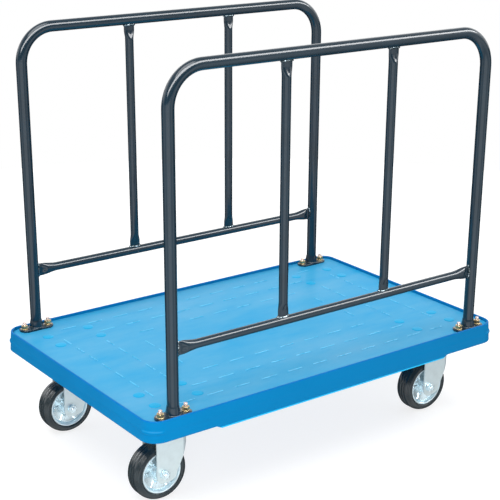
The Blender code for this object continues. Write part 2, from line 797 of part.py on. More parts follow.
def tyre_data():
    """A solid rubber tyre with a rounded crown, its bore on the disc."""
    bore = DISC_DIAMETER / 2 + GAP
    half = WHEEL_WIDTH / 2
    wall = WHEEL_RADIUS - TYRE_WALL_DROP
    crown = WHEEL_RADIUS - TYRE_CROWN_DROP
    side = [
        (bore, half - TYRE_SEAT_INSET / 2),
        (bore + TYRE_SEAT_INSET, half),
        (wall, half),
        (crown, half - TYRE_SHOULDER / 2),
        (WHEEL_RADIUS, half - TYRE_SHOULDER),
    ]
    profile = side + [(r, -h) for r, h in reversed(side)]
    return data_from(laid_on_y(turned(profile, WHEEL_STEPS, 0.5)), "tyre")


def disc_data():
    """A pressed wheel disc: hub, dished web with radial ribs on both faces, curled lip."""
    bore = AXLE_DIAMETER / 2 + 2 * GAP + BUSH_WALL
    hub_half = FORK_INNER - HUB_SIDE_CLEARANCE
    lip_half = WHEEL_WIDTH / 2 - DISC_LIP_INSET
    outer = DISC_DIAMETER / 2
    face = [
        (bore, hub_half, 0),
        (HUB_DIAMETER / 2, hub_half, 0),
        (RIB_INNER_RADIUS, DISC_WEB_HALF, 1),
        (RIB_OUTER_RADIUS, DISC_WEB_HALF + DISC_DISH, 1),
        (outer - DISC_LIP_WIDTH, lip_half, 0),
        (outer, lip_half, 0),
    ]
    profile = face + [(r, -h, ribbed) for r, h, ribbed in reversed(face)]
    rings = []
    for radius, height, ribbed in profile:
        side = math.copysign(1, height)
        rings.append([
            (x, y, height + side * ribbed * (RIB_PROUD if i % STEPS_PER_RIB == 0 else 0.0))
            for i, (x, y) in enumerate(circle(radius, WHEEL_STEPS, 0.5))
        ])
    return data_from(laid_on_y(loft(rings, endless=True)), "wheel_disc")


def bush_data():
    """The plain bush in the hub, on which the wheel turns."""
    inner = clear_bore(AXLE_DIAMETER / 2, WHEEL_STEPS // 2)
    outer = AXLE_DIAMETER / 2 + GAP + BUSH_WALL
    half = FORK_INNER - GAP
    profile = [(inner, half), (outer, half), (outer, -half), (inner, -half)]
    return data_from(laid_on_y(turned(profile, WHEEL_STEPS // 2)), "hub_bush")


def axle_data():
    """The axle bolt: its head behind the fork, its nut and tip in front."""
    shank = circle(AXLE_DIAMETER / 2, AXLE_SIDES)
    tip = circle(AXLE_DIAMETER / 2 - AXLE_TIP_CHAMFER, AXLE_SIDES)
    hexed = hexagon(AXLE_HEAD_FLATS, AXLE_SIDES)
    face = FORK_OUTER + GAP
    return data_from(laid_on_y(stacked([
        (hexed, -face - AXLE_HEAD_HEIGHT),
        (hexed, -face),
        (shank, -face),
        (shank, face),
        (hexed, face),
        (hexed, face + AXLE_NUT_HEIGHT),
        (shank, face + AXLE_NUT_HEIGHT),
        (tip, face + AXLE_NUT_HEIGHT + AXLE_TIP),
    ])), "axle")


def build_casters(zinc, rubber):
    swivel_plate = plate_data("swivel_plate", HEAD_HEIGHT - RACE_HEIGHT - GAP)
    fixed_plate = plate_data("fixed_plate", 0.0)
    swivel_fork = fork_data("swivel_fork", CROWN_Z, FORK_CROWN_INSET, TRAIL)
    fixed_fork = fork_data("fixed_fork", FIXED_CROWN_Z, FIXED_CROWN_INSET, 0.0)
    race = race_data()
    kingpin = pin_data("kingpin", CROWN_Z)
    rivet = pin_data("rivet", FIXED_CROWN_Z)
    tyre = tyre_data()
    disc = disc_data()
    bush = bush_data()
    axle = axle_data()
    for side_name, side in SIDES:
        for end_name, end in ENDS:
            name = f"{side_name}_{end_name}"
            swivels = end_name == "left"
            seat = pivot(f"caster_seat_{name}", (end * CASTER_X, side * CASTER_Y, 0))
            add(f"caster_plate_{name}", swivel_plate if swivels else fixed_plate, zinc, parent=seat)
            add(f"fork_pin_{name}", kingpin if swivels else rivet, zinc, parent=seat)
            if swivels:
                add(f"swivel_race_{name}", race, zinc, parent=seat)
                carrier = pivot(f"swivel_axis_{name}", (0, 0, 0), seat)
                axle_x = -TRAIL
            else:
                carrier = seat
                axle_x = 0.0
            axis = pivot(f"axle_axis_{name}", (axle_x, 0, AXLE_Z), carrier)
            add(f"fork_{name}", swivel_fork if swivels else fixed_fork, zinc, parent=axis)
            add(f"axle_{name}", axle, zinc, parent=axis)
            add(f"hub_bush_{name}", bush, zinc, parent=axis)
            add(f"wheel_disc_{name}", disc, zinc, parent=axis)
            add(f"tyre_{name}", tyre, rubber, parent=axis)


def main():
    for item in list(bpy.data.objects):
        bpy.data.objects.remove(item)
    resin = paint("blue_resin", (0.02, 0.28, 0.62), 0.45)
    steel_paint = paint("slate_paint", (0.035, 0.045, 0.060), 0.30)
    gold_zinc = paint("gold_zinc", (0.72, 0.52, 0.24), 0.35, 1.0)
    bright_zinc = paint("bright_zinc", (0.62, 0.68, 0.70), 0.38, 1.0)
    rubber = paint("black_rubber", (0.018, 0.020, 0.022), 0.65)
    build_deck(resin)
    build_hoops(steel_paint)
    build_feet(steel_paint, gold_zinc)
    build_casters(bright_zinc, rubber)


main()
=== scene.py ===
import math
import random

import bmesh
import bpy
from mathutils import Matrix, Vector


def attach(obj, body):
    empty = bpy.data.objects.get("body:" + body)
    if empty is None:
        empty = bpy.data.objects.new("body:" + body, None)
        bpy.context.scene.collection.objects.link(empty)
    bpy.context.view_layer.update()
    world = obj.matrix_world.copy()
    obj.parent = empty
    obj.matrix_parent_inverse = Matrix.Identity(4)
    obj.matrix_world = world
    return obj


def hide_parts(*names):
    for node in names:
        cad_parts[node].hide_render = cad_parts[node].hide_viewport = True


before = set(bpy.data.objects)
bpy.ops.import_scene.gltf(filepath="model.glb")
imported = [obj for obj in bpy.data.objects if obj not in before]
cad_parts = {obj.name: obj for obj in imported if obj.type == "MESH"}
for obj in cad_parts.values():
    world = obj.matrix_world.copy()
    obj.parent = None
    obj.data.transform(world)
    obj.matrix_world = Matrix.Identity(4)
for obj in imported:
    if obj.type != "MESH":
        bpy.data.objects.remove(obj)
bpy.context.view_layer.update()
scene = bpy.context.scene

# Sizes in metres that the frame has too
DECK_LENGTH, DECK_WIDTH, DECK_CORNER = 0.900, 0.594, 0.036
PAD_Z, SKIRT_Z, RIM_Z, FLOOR_Z = 0.1693, 0.1746, 0.2179, 0.2109
SKIRT_DRAFT, SKIRT_WALL, SKIN, RIB_WALL = 0.0030, 0.0045, 0.0050, 0.0040
RIM_WIDTH, RIM_ROUND = 0.0045, 0.0021
BUMP_DEPTH, BUMP_HEIGHT, BUMP_PROUD = 0.0225, 0.0095, 0.0022
LIP_LENGTH, LIP_DROP, LIP_PROUD, LIP_BEAD = 0.610, 0.0053, 0.0008, 0.0022
PAD_LENGTH, PAD_WIDTH, RECESS = 0.130, 0.090, 0.0100
POST_X, HOOP_Y, TOP_Z, RAIL_Z, BEND = 0.3838, 0.2726, 0.8551, 0.3429, 0.072
TUBE_R, SMALL_R, BAR_X = 0.0115, 0.0090, 0.1292
FOOT_LENGTH, FOOT_WIDTH, FOOT_THICK, SOCKET_FLOOR = 0.078, 0.0310, 0.0045, 0.0080
BOLT_X = 0.028
M8_R, M8_FLATS, M8_HEAD = 0.0040, 0.0130, 0.0053
CASTER_X, CASTER_Y, TRAIL = 0.338, 0.185, 0.030
CASTER_BOLTS = [(x, y) for x in (-0.0485, 0.0485) for y in (-0.0285, 0.0285)]
PLATE_Z, CASTER_Z, CROWN_Z, CROWN_SHEET = 0.165, 0.169, 0.153, 0.004
WHEEL_R, WHEEL_WIDTH, DISC_R, AXLE_R = 0.05875, 0.0425, 0.0436, 0.0050
AXLE_Z = WHEEL_R * math.cos(math.pi / 24)
FORK_SHEET = 0.0030
FORK_IN = WHEEL_WIDTH / 2 + 0.0025
FORK_OUT = FORK_IN + FORK_SHEET
RACE_R = 0.0220
GAP = 0.0003

# Sizes in metres that only the visible pieces have
SKIRT_ROUND, TRAY_ROUND, LIP_SLOPE = 0.0022, 0.0012, 0.0150
DASH_WIDTH, DASH_PROUD, DASH_STEP_X, DASH_STEP_Y = 0.0030, 0.0010, 0.0653, 0.0535
DASH_ROWS = ((0.233, 5), (0.178, 4), (0.122, 3))  # distance from the middle, dashes each way
DASH_COLUMNS = ((0.367, 3), (0.296, 2), (0.230, 1))
CAP_PROFILE = ((0.0118, -0.0003), (0.0118, 0.0003), (0.0112, 0.0007),
               (0.0096, 0.0010), (0.0050, 0.0012), (0.0006, 0.0013))
TYRE_GROOVES = ((0.0172, 0.0012, 0.00090), (0.0142, 0.0014, 0.00110),
                (0.0040, 0.0014, 0.00110))  # distance from the middle, depth, width
M8_PITCH, PIN_HOLE_R, FORK_NOSE = 0.00125, 0.0064, 0.059
WELD_R, WELD_SINK = 0.0020, 0.0006
BAR_WELD, RAIL_WELD = (0.0126, 0.0042), (0.0044, 0.0143)  # half the size of a bead's path
BITE = 0.0005  # how far a hidden end reaches into its neighbour

SIDES = (("front", -1), ("back", 1))
ENDS = (("left", -1), ("right", 1))
CORNERS = [(f"{side_name}_{end_name}", end, side)
           for side_name, side in SIDES for end_name, end in ENDS]
QUADRANTS = ((1, 1), (-1, 1), (-1, -1), (1, -1))


# Node helpers

class Graph:
    """The nodes of a material or of the world, and the shader that comes with them."""

    def __init__(self, owner, shader):
        owner.use_nodes = True
        self.nodes, self.link = owner.node_tree.nodes, owner.node_tree.links.new
        self.shader = self.nodes[shader]

    def fill(self, node, inputs):
        """Gives a node's inputs their links or fixed values."""
        for name, value in inputs.items():
            if isinstance(value, bpy.types.NodeSocket):
                self.link(value, node.inputs[name])
            else:
                node.inputs[name].default_value = value

    def add(self, kind, inputs=None, **settings):
        """The outputs of a new node."""
        node = self.nodes.new("ShaderNode" + kind)
        for name, value in settings.items():
            setattr(node, name, value)
        self.fill(node, inputs or {})
        return node.outputs

    def place(self, kind="Object"):
        """Texture coordinates."""
        return self.add("TexCoord")[kind]

    def split(self, vector):
        """The outputs X, Y and Z of a vector."""
        return self.add("SeparateXYZ", {"Vector": vector})

    def math(self, operation, first, second=0.0):
        """The result of a computation with a link and a number or another link."""
        return self.add("Math", {0: first, 1: second}, operation=operation)["Value"]

    def vector_math(self, operation, first, second=(0.0, 0.0, 0.0)):
        """The outputs of a computation with a link and a fixed vector."""
        return self.add("VectorMath", {0: first, 1: second}, operation=operation)

    def noise(self, scale, detail=4.0, stretch=(1.0, 1.0, 1.0), roughness=0.55):
        """Noise in object coordinates, stretched per axis."""
        vector = self.add("Mapping", {"Vector": self.place(), "Scale": stretch})["Vector"]
        return self.add("TexNoise", {"Vector": vector, "Scale": scale, "Detail": detail,
                                     "Roughness": roughness})["Fac"]

    def spread(self, value, low, high):
        """A value from 0..1 mapped to low..high."""
        return self.add("MapRange", {"Value": value, "To Min": low, "To Max": high})["Result"]

    def step(self, value, low, high):
        """A soft step from 0 at low to 1 at high."""
        return self.add("MapRange", {"Value": value, "From Min": low, "From Max": high},
                        interpolation_type="SMOOTHSTEP")["Result"]

    def mix(self, share, first, second):
        """Two colours mixed by a share."""
        return self.add("Mix", {"Factor": share, "A": first, "B": second},
                        data_type="RGBA")["Result"]

    def ramp(self, value, stops):
        """A colour ramp over a value; stops are (position, colour)."""
        colour = self.add("ValToRGB", {"Fac": value})["Color"]
        shades = colour.node.color_ramp.elements
        while len(shades) < len(stops):
            shades.new(0.5)
        for element, (position, shade) in zip(shades, stops):
            element.position = position
            element.color = (*shade, 1.0)
        return colour

    def greys(self, value, *stops):
        """A ramp of greys over a value; stops are (position, level)."""
        return self.ramp(value, [(position, (level,) * 3) for position, level in stops])

    def finish(self, value, stops, rough):
        """Gives the shader a colour and a roughness that follow one value."""
        self.fill(self.shader, {"Base Color": self.ramp(value, stops),
                                "Roughness": self.spread(value, *rough)})

    def bump(self, value, strength, distance, before=None):
        """Gives the shader a bump, its distance in metres, on top of an earlier one."""
        inputs = {"Strength": strength, "Distance": distance, "Height": value}
        if before:
            inputs["Normal"] = before
        normal = self.add("Bump", inputs)["Normal"]
        self.fill(self.shader, {"Normal": normal})
        return normal


def new_material(name):
    """A node material and its graph."""
    material = bpy.data.materials.new(name)
    return material, Graph(material, "Principled BSDF")


def tint(colour, factor):
    """A colour times a factor."""
    return tuple(min(1.0, c * factor) for c in colour)


# Materials

def resin_material():
    """Moulded resin with painted light: upper faces take a lighter copy of the resin in place of
    the light they catch, with a painted shade along the rim's crest and a painted highlight
    along the lower edge of the long skirts."""
    material, graph = new_material("blue_resin_surface")
    # Skirt and tread are shaded and lit copies of one resin: the tread's lighter colour is painted
    # light
    skirt, tread = (0.000, 0.192, 0.452), (0.053, 0.346, 0.602)
    spot = graph.split(graph.place())
    face = graph.split(graph.add("NewGeometry")["Normal"])
    flow = graph.noise(5.0, 3.0, (0.6, 1.6, 1.0))
    streaks = graph.noise(7.0, 5.0, (0.5, 1.5, 1.0), 0.65)
    dark = graph.ramp(flow, [(0.30, tint(skirt, 0.95)), (0.70, tint(skirt, 1.05))])
    # Painted light: the lighter copy of the resin for upper faces
    light = graph.ramp(streaks, [
        (0.32, (0.018, 0.318, 0.600)), (0.50, tread), (0.68, (0.087, 0.366, 0.608))])
    # Painted shade: a deeper blue for the rim's crest
    deep = graph.ramp(flow, [(0.30, (0.0, 0.158, 0.455)), (0.70, (0.0, 0.172, 0.490))])
    # Painted highlight: a paler blue for the lower edge of the long skirts
    pale = graph.ramp(flow, [(0.30, (0.020, 0.48, 0.84)), (0.70, (0.03, 0.52, 0.88))])
    # Mask of the painted light: faces that point upwards take the lighter copy
    upper = graph.step(face["Z"], 0.4, 0.9)
    # Mask of the painted shade along the rim's crest
    crest = graph.step(spot["Z"], RIM_Z - 0.0034, RIM_Z - 0.0014)
    # Mask of the painted highlight along the lower edge of the long skirts
    low = graph.step(spot["Z"], PAD_Z + 0.0034, PAD_Z + 0.0020)
    far = graph.step(graph.math("ABSOLUTE", spot["Y"]), 0.270, 0.284)
    colour = graph.mix(upper, dark, light)
    colour = graph.mix(crest, colour, deep)
    colour = graph.mix(graph.math("MULTIPLY", low, far), colour, pale)
    rough = graph.spread(graph.noise(22.0, 3.0), 0.30, 0.42)
    graph.fill(graph.shader, {
        "Base Color": colour, "Roughness": rough, "Specular IOR Level": 0.045})
    grain = graph.bump(graph.noise(1400.0, 2.0), 0.25, 0.00012)
    graph.bump(graph.noise(9.0, 2.0), 0.20, 0.0012, grain)
    return material


def dash_highlight_material():
    """The tops of the raised dashes, in a paler resin that is a painted highlight."""
    material, graph = new_material("dash_highlight_surface")
    # Painted highlight: the paler colour stands in for the light that the dashes' raised edges
    # catch
    graph.finish(graph.noise(60.0, 4.0),
                 [(0.30, (0.020, 0.37, 0.65)), (0.65, (0.068, 0.49, 0.76))], (0.22, 0.34))
    graph.fill(graph.shader, {"Specular IOR Level": 0.4})
    graph.bump(graph.noise(900.0, 2.0), 0.2, 0.00010)
    return material


def cap_material():
    """The caps over the bolts: the same resin in a purer blue."""
    material, graph = new_material("cap_resin_surface")
    graph.finish(graph.noise(30.0, 3.0),
                 [(0.30, (0.006, 0.350, 0.640)), (0.70, (0.012, 0.374, 0.672))], (0.34, 0.46))
    graph.fill(graph.shader, {"Specular IOR Level": 0.08})
    graph.bump(graph.noise(1400.0, 2.0), 0.25, 0.00012)
    return material


def weld_material():
    """Lumpy weld metal under a thin dark coat."""
    material, graph = new_material("weld_surface")
    lumps = graph.noise(260.0, 3.0)
    graph.finish(lumps, [(0.46, (0.02, 0.04, 0.05)), (0.62, (0.50, 0.60, 0.65))], (0.12, 0.24))
    graph.fill(graph.shader, {"Metallic": 0.8})
    graph.bump(lumps, 0.30, 0.0004)
    return material


def slate_material():
    """Glossy dark powder coat with a faint orange peel."""
    material, graph = new_material("slate_paint_surface")
    base = (0.006, 0.024, 0.041)
    graph.finish(graph.noise(14.0, 3.0),
                 [(0.30, tint(base, 0.88)), (0.70, tint(base, 1.14))], (0.12, 0.19))
    graph.fill(graph.shader, {"Coat Weight": 0.08, "Coat Roughness": 0.06})
    graph.bump(graph.noise(420.0, 2.0), 0.12, 0.00010)
    return material


def zinc_material(name, base, rough, metal, grain, lip=None):
    """Plated steel: soft spangle, rolling marks and small colour shifts, less metallic past
    the radius of a lip."""
    material, graph = new_material(name)
    colour = graph.ramp(graph.noise(60.0, 4.0), [
        (0.28, tint(base, 0.93)), (0.52, base), (0.76, tint(base, 1.05))])
    rolled = graph.noise(120.0, 3.0, (1.0, 1.0, 0.15))
    graph.fill(graph.shader, {
        "Base Color": colour, "Metallic": metal, "Roughness": graph.spread(rolled, *rough)})
    if lip:
        flat = graph.vector_math("MULTIPLY", graph.place(), (1.0, 0.0, 1.0))["Vector"]
        past = graph.step(graph.vector_math("LENGTH", flat)["Value"], lip, lip + 0.0008)
        graph.fill(graph.shader, {"Metallic": graph.spread(past, metal, 0.30)})
    graph.bump(graph.noise(300.0, 3.0), grain, 0.00012)
    return material


def gold_material(name, tones):
    """Yellow chromate over zinc, drifting between four tones."""
    material, graph = new_material(name)
    graph.finish(graph.noise(110.0, 2.0), list(zip((0.30, 0.48, 0.62, 0.78), tones)),
                 (0.20, 0.32))
    graph.fill(graph.shader, {"Metallic": 0.75})
    graph.bump(graph.noise(900.0, 2.0), 0.15, 0.0001)
    return material


def rubber_material():
    """Black moulded rubber with a dull bloom."""
    material, graph = new_material("black_rubber_surface")
    graph.finish(graph.noise(35.0, 4.0),
                 [(0.30, (0.004, 0.013, 0.019)), (0.72, (0.011, 0.026, 0.034))], (0.20, 0.28))
    graph.fill(graph.shader, {"Coat Weight": 0.22, "Coat Roughness": 0.10})
    graph.bump(graph.noise(700.0, 3.0), 0.04, 0.00006)
    return material


RESIN = resin_material()
# A painted highlight for the tops of the dashes
DASH_HIGHLIGHT = dash_highlight_material()
CAP = cap_material()
SLATE = slate_material()
WELD = weld_material()
ZINC = zinc_material("bright_zinc_surface", (0.64, 0.745, 0.765), rough=(0.26, 0.33),
                     metal=0.30, grain=0.08)
WHEEL_ZINC = zinc_material("wheel_zinc_surface", (0.75, 0.90, 0.965), rough=(0.17, 0.25),
                           metal=0.75, grain=0.02, lip=0.0388)
GOLD = gold_material("gold_zinc_surface", [
    (0.32, 0.26, 0.12), (0.56, 0.45, 0.24), (0.60, 0.47, 0.30), (0.38, 0.38, 0.22)])
TIP = gold_material("bolt_tip_surface", [
    (0.52, 0.43, 0.39), (0.64, 0.53, 0.49), (0.66, 0.53, 0.52), (0.56, 0.52, 0.46)])
RUBBER = rubber_material()


# Outlines

def circle(radius, sides):
    """Points round a circle, from +X on."""
    return [(radius * math.cos(math.tau * i / sides), radius * math.sin(math.tau * i / sides))
            for i in range(sides)]


def arc(centre, radius, start, end, steps):
    """Points along an arc between two angles in degrees."""
    turns = [math.radians(start + (end - start) * i / steps) for i in range(steps + 1)]
    return [(centre[0] + radius * math.cos(t), centre[1] + radius * math.sin(t)) for t in turns]


def stadium(half, radius, steps):
    """Two half circles joined by straight sides."""
    return arc((half, 0), radius, -90, 90, steps) + arc((-half, 0), radius, 90, 270, steps)


def quarter(steps, first=0):
    """Angles from 0 to a right angle, or from a later step of the way."""
    return [math.pi / 2 * i / steps for i in range(first, steps + 1)]


def from_sixth(turn):
    """The angle between a direction and the nearest sixth of a turn."""
    return (turn + math.pi / 6) % (math.pi / 3) - math.pi / 6


def eased(value):
    """A smooth step from 0 to 1."""
    value = max(0.0, min(1.0, value))
    return value * value * (3 - 2 * value)


# Mesh helpers

def loft(rings, endless=False, into=None):
    """Rings of equal point counts joined in turn, capped unless they run round."""
    mesh = into or bmesh.new()
    loops = [[mesh.verts.new(point) for point in ring] for ring in rings]
    pairs = list(zip(loops, loops[1:]))
    faces = []
    if endless:
        pairs.append((loops[-1], loops[0]))
    else:
        faces.append(mesh.faces.new(list(reversed(loops[0]))))
        faces.append(mesh.faces.new(loops[-1]))
    count = len(loops[0])
    for lower, upper in pairs:
        for i in range(count):
            j = (i + 1) % count
            faces.append(mesh.faces.new((lower[i], lower[j], upper[j], upper[i])))
    bmesh.ops.recalc_face_normals(mesh, faces=faces)
    return mesh


def stacked(sections, into=None):
    """Outlines at their heights joined in turn."""
    return loft([[(x, y, z) for x, y in outline] for outline, z in sections], into=into)


def box(mesh, low, high):
    """A box added to a mesh."""
    corners = [(low[0], low[1]), (high[0], low[1]), (high[0], high[1]), (low[0], high[1])]
    return stacked([(corners, low[2]), (corners, high[2])], into=mesh)


def turned(profile, sides, into=None):
    """A closed (radius, height) profile turned about Z."""
    return loft([[(x, y, h) for x, y in circle(r, sides)] for r, h in profile], True, into)


def rotated(mesh, angle, axis):
    """The mesh turned about an axis through the origin."""
    bmesh.ops.rotate(mesh, verts=mesh.verts, matrix=Matrix.Rotation(angle, 3, axis))
    return mesh


def laid_on_y(mesh):
    """Z becomes -Y, so that a turned body's top faces front."""
    return rotated(mesh, math.pi / 2, "X")


def moved(mesh, x=0.0, y=0.0, z=0.0):
    """The mesh shifted."""
    bmesh.ops.translate(mesh, verts=mesh.verts, vec=(x, y, z))
    return mesh


def absorb(mesh, part):
    """Adds a part to a mesh and frees the part."""
    scratch = bpy.data.meshes.new("scratch")
    part.to_mesh(scratch)
    part.free()
    mesh.from_mesh(scratch)
    bpy.data.meshes.remove(scratch)


def data_from(mesh, name, angle=35):
    """Smooth mesh data with edges sharper than the angle kept sharp."""
    data = bpy.data.meshes.new(name)
    mesh.to_mesh(data)
    mesh.free()
    data.shade_smooth()
    data.set_sharp_from_angle(angle=math.radians(angle))
    return data


def linked(name, data):
    """A new object in the scene."""
    item = bpy.data.objects.new(name, data)
    scene.collection.objects.link(item)
    return item


def piece(name, data, material, body, stands_for=(), place=(0, 0, 0), bevel=0.0,
          segments=2, turn_z=0.0):
    """A visible piece on a body, in place of the named nodes."""
    item = linked(name, data)
    item.location = place
    item.rotation_euler = (0, 0, turn_z)
    if not data.materials:
        data.materials.append(material)
    if bevel:
        edge = item.modifiers.new("edge", "BEVEL")
        edge.width = bevel
        edge.segments = segments
        edge.limit_method = "ANGLE"
        edge.angle_limit = math.radians(40)
        edge.harden_normals = True
    bpy.context.view_layer.update()
    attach(item, body)
    if stands_for:
        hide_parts(*stands_for)


def combine(base, tools, name):
    """A base mesh after Booleans, as mesh data."""
    item = linked("work", data_from(base, "work"))
    cutters = []
    for operation, tool in tools:
        cutters.append(linked("tool", data_from(tool, "tool")))
        step = item.modifiers.new("step", "BOOLEAN")
        step.operation = operation
        step.solver = "EXACT"
        step.object = cutters[-1]
    bpy.context.view_layer.update()
    state = bpy.context.evaluated_depsgraph_get()
    result = bpy.data.meshes.new_from_object(item.evaluated_get(state))
    for spent in [item] + cutters:
        bpy.data.objects.remove(spent)
    whole = bmesh.new()
    whole.from_mesh(result)
    bpy.data.meshes.remove(result)
    bmesh.ops.dissolve_limit(whole, angle_limit=math.radians(1), verts=whole.verts,
                             edges=whole.edges)
    return data_from(whole, name)


# Deck

def deck_outline(inset, bulge=0.0, steps=20):
    """The deck's plan with round corners that swell by bulge."""
    half_x, half_y = DECK_LENGTH / 2 - inset, DECK_WIDTH / 2 - inset
    radius = max(DECK_CORNER - inset, 0.004)
    points = []
    for number, (side_x, side_y) in enumerate(QUADRANTS):
        for i in range(steps + 1):
            turn = math.pi / 2 * (number + i / steps)
            swell = min(1.0, 2.2 * math.sin(math.pi * i / steps))
            reach = radius + bulge * swell
            points.append((
                side_x * (half_x - radius) + reach * math.cos(turn),
                side_y * (half_y - radius) + reach * math.sin(turn),
            ))
    return points


def build_shell():
    """The skirt with its corner bumps, the rim and the tray."""
    rings = []

    def lean(z):
        return SKIRT_DRAFT * (z - SKIRT_Z) / (RIM_Z - SKIRT_Z)

    def ring(inset, z, bulge=0.0):
        rings.append([(x, y, z) for x, y in deck_outline(inset, bulge)])

    ring(SKIRT_WALL + SKIRT_DRAFT, FLOOR_Z - SKIN)
    ring(SKIRT_WALL, SKIRT_Z + SKIRT_ROUND)
    ring(SKIRT_WALL - SKIRT_ROUND * 0.35, SKIRT_Z)
    for turn in quarter(6, 1):
        ring(SKIRT_ROUND * (1 - math.sin(turn)), SKIRT_Z + SKIRT_ROUND * (1 - math.cos(turn)))
    bump_z, clear = RIM_Z - BUMP_DEPTH, BUMP_HEIGHT * 0.62
    ring(lean(bump_z - clear), bump_z - clear)
    for i in range(9):
        share = -1 + 2 * i / 8
        z = bump_z + share * BUMP_HEIGHT / 2
        ring(lean(z), z, BUMP_PROUD * max(0.0, math.cos(share * math.pi / 2)) ** 1.8)
    ring(lean(bump_z + clear), bump_z + clear)
    inner = SKIRT_DRAFT + RIM_WIDTH
    for turn in quarter(6):
        ring(SKIRT_DRAFT + RIM_ROUND * (1 - math.cos(turn)),
             RIM_Z - RIM_ROUND * (1 - math.sin(turn)))
    for turn in quarter(6):
        ring(inner - RIM_ROUND * (1 - math.sin(turn)), RIM_Z - RIM_ROUND * (1 - math.cos(turn)))
    for turn in quarter(5):
        ring(inner + TRAY_ROUND * (1 - math.cos(turn)),
             FLOOR_Z + TRAY_ROUND * (1 - math.sin(turn)))
    for further in (0.004, 0.014):
        ring(inner + further, FLOOR_Z)
    piece("deck_shell", data_from(loft(rings), "deck_shell", 50), RESIN, "cart",
          ["deck"])


def build_ribs():
    """The grid under the tray, the pads over the casters and the bosses over the feet's bolts."""
    ribs = bmesh.new()
    wall_x, wall_y = (size / 2 - SKIRT_WALL - BITE for size in (DECK_LENGTH, DECK_WIDTH))
    pad_x = (CASTER_X - PAD_LENGTH / 2, CASTER_X + PAD_LENGTH / 2)
    pad_y = (CASTER_Y - PAD_WIDTH / 2, CASTER_Y + PAD_WIDTH / 2)
    lines_x = [-pad_x[0] + pad_x[0] * 2 * i / 7 for i in range(8)]
    lines_x += [s * v for s in (-1, 1) for v in (CASTER_X, pad_x[1])]
    lines_y = [-pad_y[0] + pad_y[0] * 2 * i / 4 for i in range(5)]
    lines_y += [s * pad_y[1] for s in (-1, 1)]
    half, roof = RIB_WALL / 2, FLOOR_Z - SKIN + BITE
    # Walls that cross end at slightly different levels, so that no two faces coincide
    for x in lines_x:
        reach = wall_y - 0.010 if abs(x) > pad_x[1] - 0.001 else wall_y
        box(ribs, (x - half, -reach, SKIRT_Z + 0.0006), (x + half, reach, roof))
    for y in lines_y:
        box(ribs, (-wall_x, y - half, SKIRT_Z + 0.0009), (wall_x, y + half, roof))
    margin = 0.0045
    boss = (POST_X - FOOT_LENGTH / 2 - margin, POST_X + FOOT_LENGTH / 2 + margin)
    round_x, short_y = DECK_LENGTH / 2 - DECK_CORNER, wall_y - margin
    blocks = (
        (boss[0], round_x, wall_y, RECESS),
        (round_x - 0.002, boss[1], short_y, RECESS + 0.0002),
        (boss[0] - half, boss[0] + half, wall_y, 0.0012),
        (boss[1] - half, boss[1] + half, short_y, 0.0012),
    )
    for sx in (-1, 1):
        for sy in (-1, 1):
            cx, cy = sx * CASTER_X, sy * CASTER_Y
            box(ribs, (cx - PAD_LENGTH / 2, cy - PAD_WIDTH / 2, PAD_Z),
                (cx + PAD_LENGTH / 2, cy + PAD_WIDTH / 2, roof))
            for x0, x1, reach, level in blocks:
                bx, by = sorted((sx * x0, sx * x1)), sorted((sy * pad_y[1], sy * reach))
                box(ribs, (bx[0], by[0], SKIRT_Z + level), (bx[1], by[1], roof))
    piece("deck_ribs", data_from(ribs, "deck_ribs"), RESIN, "cart", bevel=0.0007)


def build_lips():
    """The deeper stretch of each long skirt, with a bead above it and sloping ends."""
    lips = bmesh.new()
    inner, outer = DECK_WIDTH / 2 - SKIRT_WALL, DECK_WIDTH / 2
    section = [
        (inner, LIP_BEAD), (outer - LIP_PROUD, LIP_BEAD),
        (outer - LIP_PROUD * 0.2, LIP_BEAD * 0.55), (outer, 0.0),
        (outer, -LIP_DROP + 0.0024), (outer + LIP_PROUD, -LIP_DROP + 0.0010),
        (outer + LIP_PROUD - 0.0006, -LIP_DROP), (inner, -LIP_DROP),
    ]
    for side in (-1, 1):
        loft([[(end * (LIP_LENGTH / 2 - LIP_SLOPE * (LIP_BEAD - h) / (LIP_BEAD + LIP_DROP)),
                side * y, SKIRT_Z + h) for y, h in section] for end in (-1, 1)], into=lips)
    piece("deck_lips", data_from(lips, "deck_lips"), RESIN, "cart", bevel=0.0005)


def build_tread():
    """Low raised dashes in nested rectangles, and the caps over the caster bolts."""
    mesh = bmesh.new()

    def dash(x, y, length, along_x):
        outline = stadium(length / 2 - DASH_WIDTH / 2, DASH_WIDTH / 2, 6)
        sections = []
        for long, wide, level in ((1.0, 1.0, -0.0003), (1.0, 1.0, DASH_PROUD * 0.4),
                                  (0.985, 0.55, DASH_PROUD)):
            points = [(px * long, py * wide) for px, py in outline]
            sections.append(([(x + px, y + py) if along_x else (x - py, y + px)
                              for px, py in points], FLOOR_Z + level))
        stacked(sections, into=mesh)

    for row_y, reach in DASH_ROWS:
        for side in (-1, 1):
            for k in range(-reach, reach + 1):
                dash(k * DASH_STEP_X, side * row_y, 0.037, True)
    for column_x, reach in DASH_COLUMNS:
        for side in (-1, 1):
            for k in range(-reach, reach + 1):
                dash(side * column_x, k * DASH_STEP_Y, 0.036, False)
    # The dashes take the painted highlight material
    piece("deck_tread", data_from(mesh, "deck_tread"), DASH_HIGHLIGHT, "cart")

    caps = bmesh.new()
    for sx in (-1, 1):
        for sy in (-1, 1):
            for bx, by in CASTER_BOLTS:
                x, y = sx * CASTER_X + bx, sy * CASTER_Y + by
                stacked([([(x + px, y + py) for px, py in circle(radius, 40)], FLOOR_Z + height)
                         for radius, height in CAP_PROFILE], into=caps)
    piece("deck_bolt_caps", data_from(caps, "deck_bolt_caps", 60), CAP, "cart")


# Hoops, rails and bars

def swept(points, outs, radius, sides):
    """A round tube through points in the XZ plane, with the direction away from the bend."""
    rings = []
    for (x, z), (ox, oz) in zip(points, outs):
        rings.append([
            Vector((x + ox * a, b, z + oz * a)) for a, b in circle(radius, sides)
        ])
    return loft(rings)


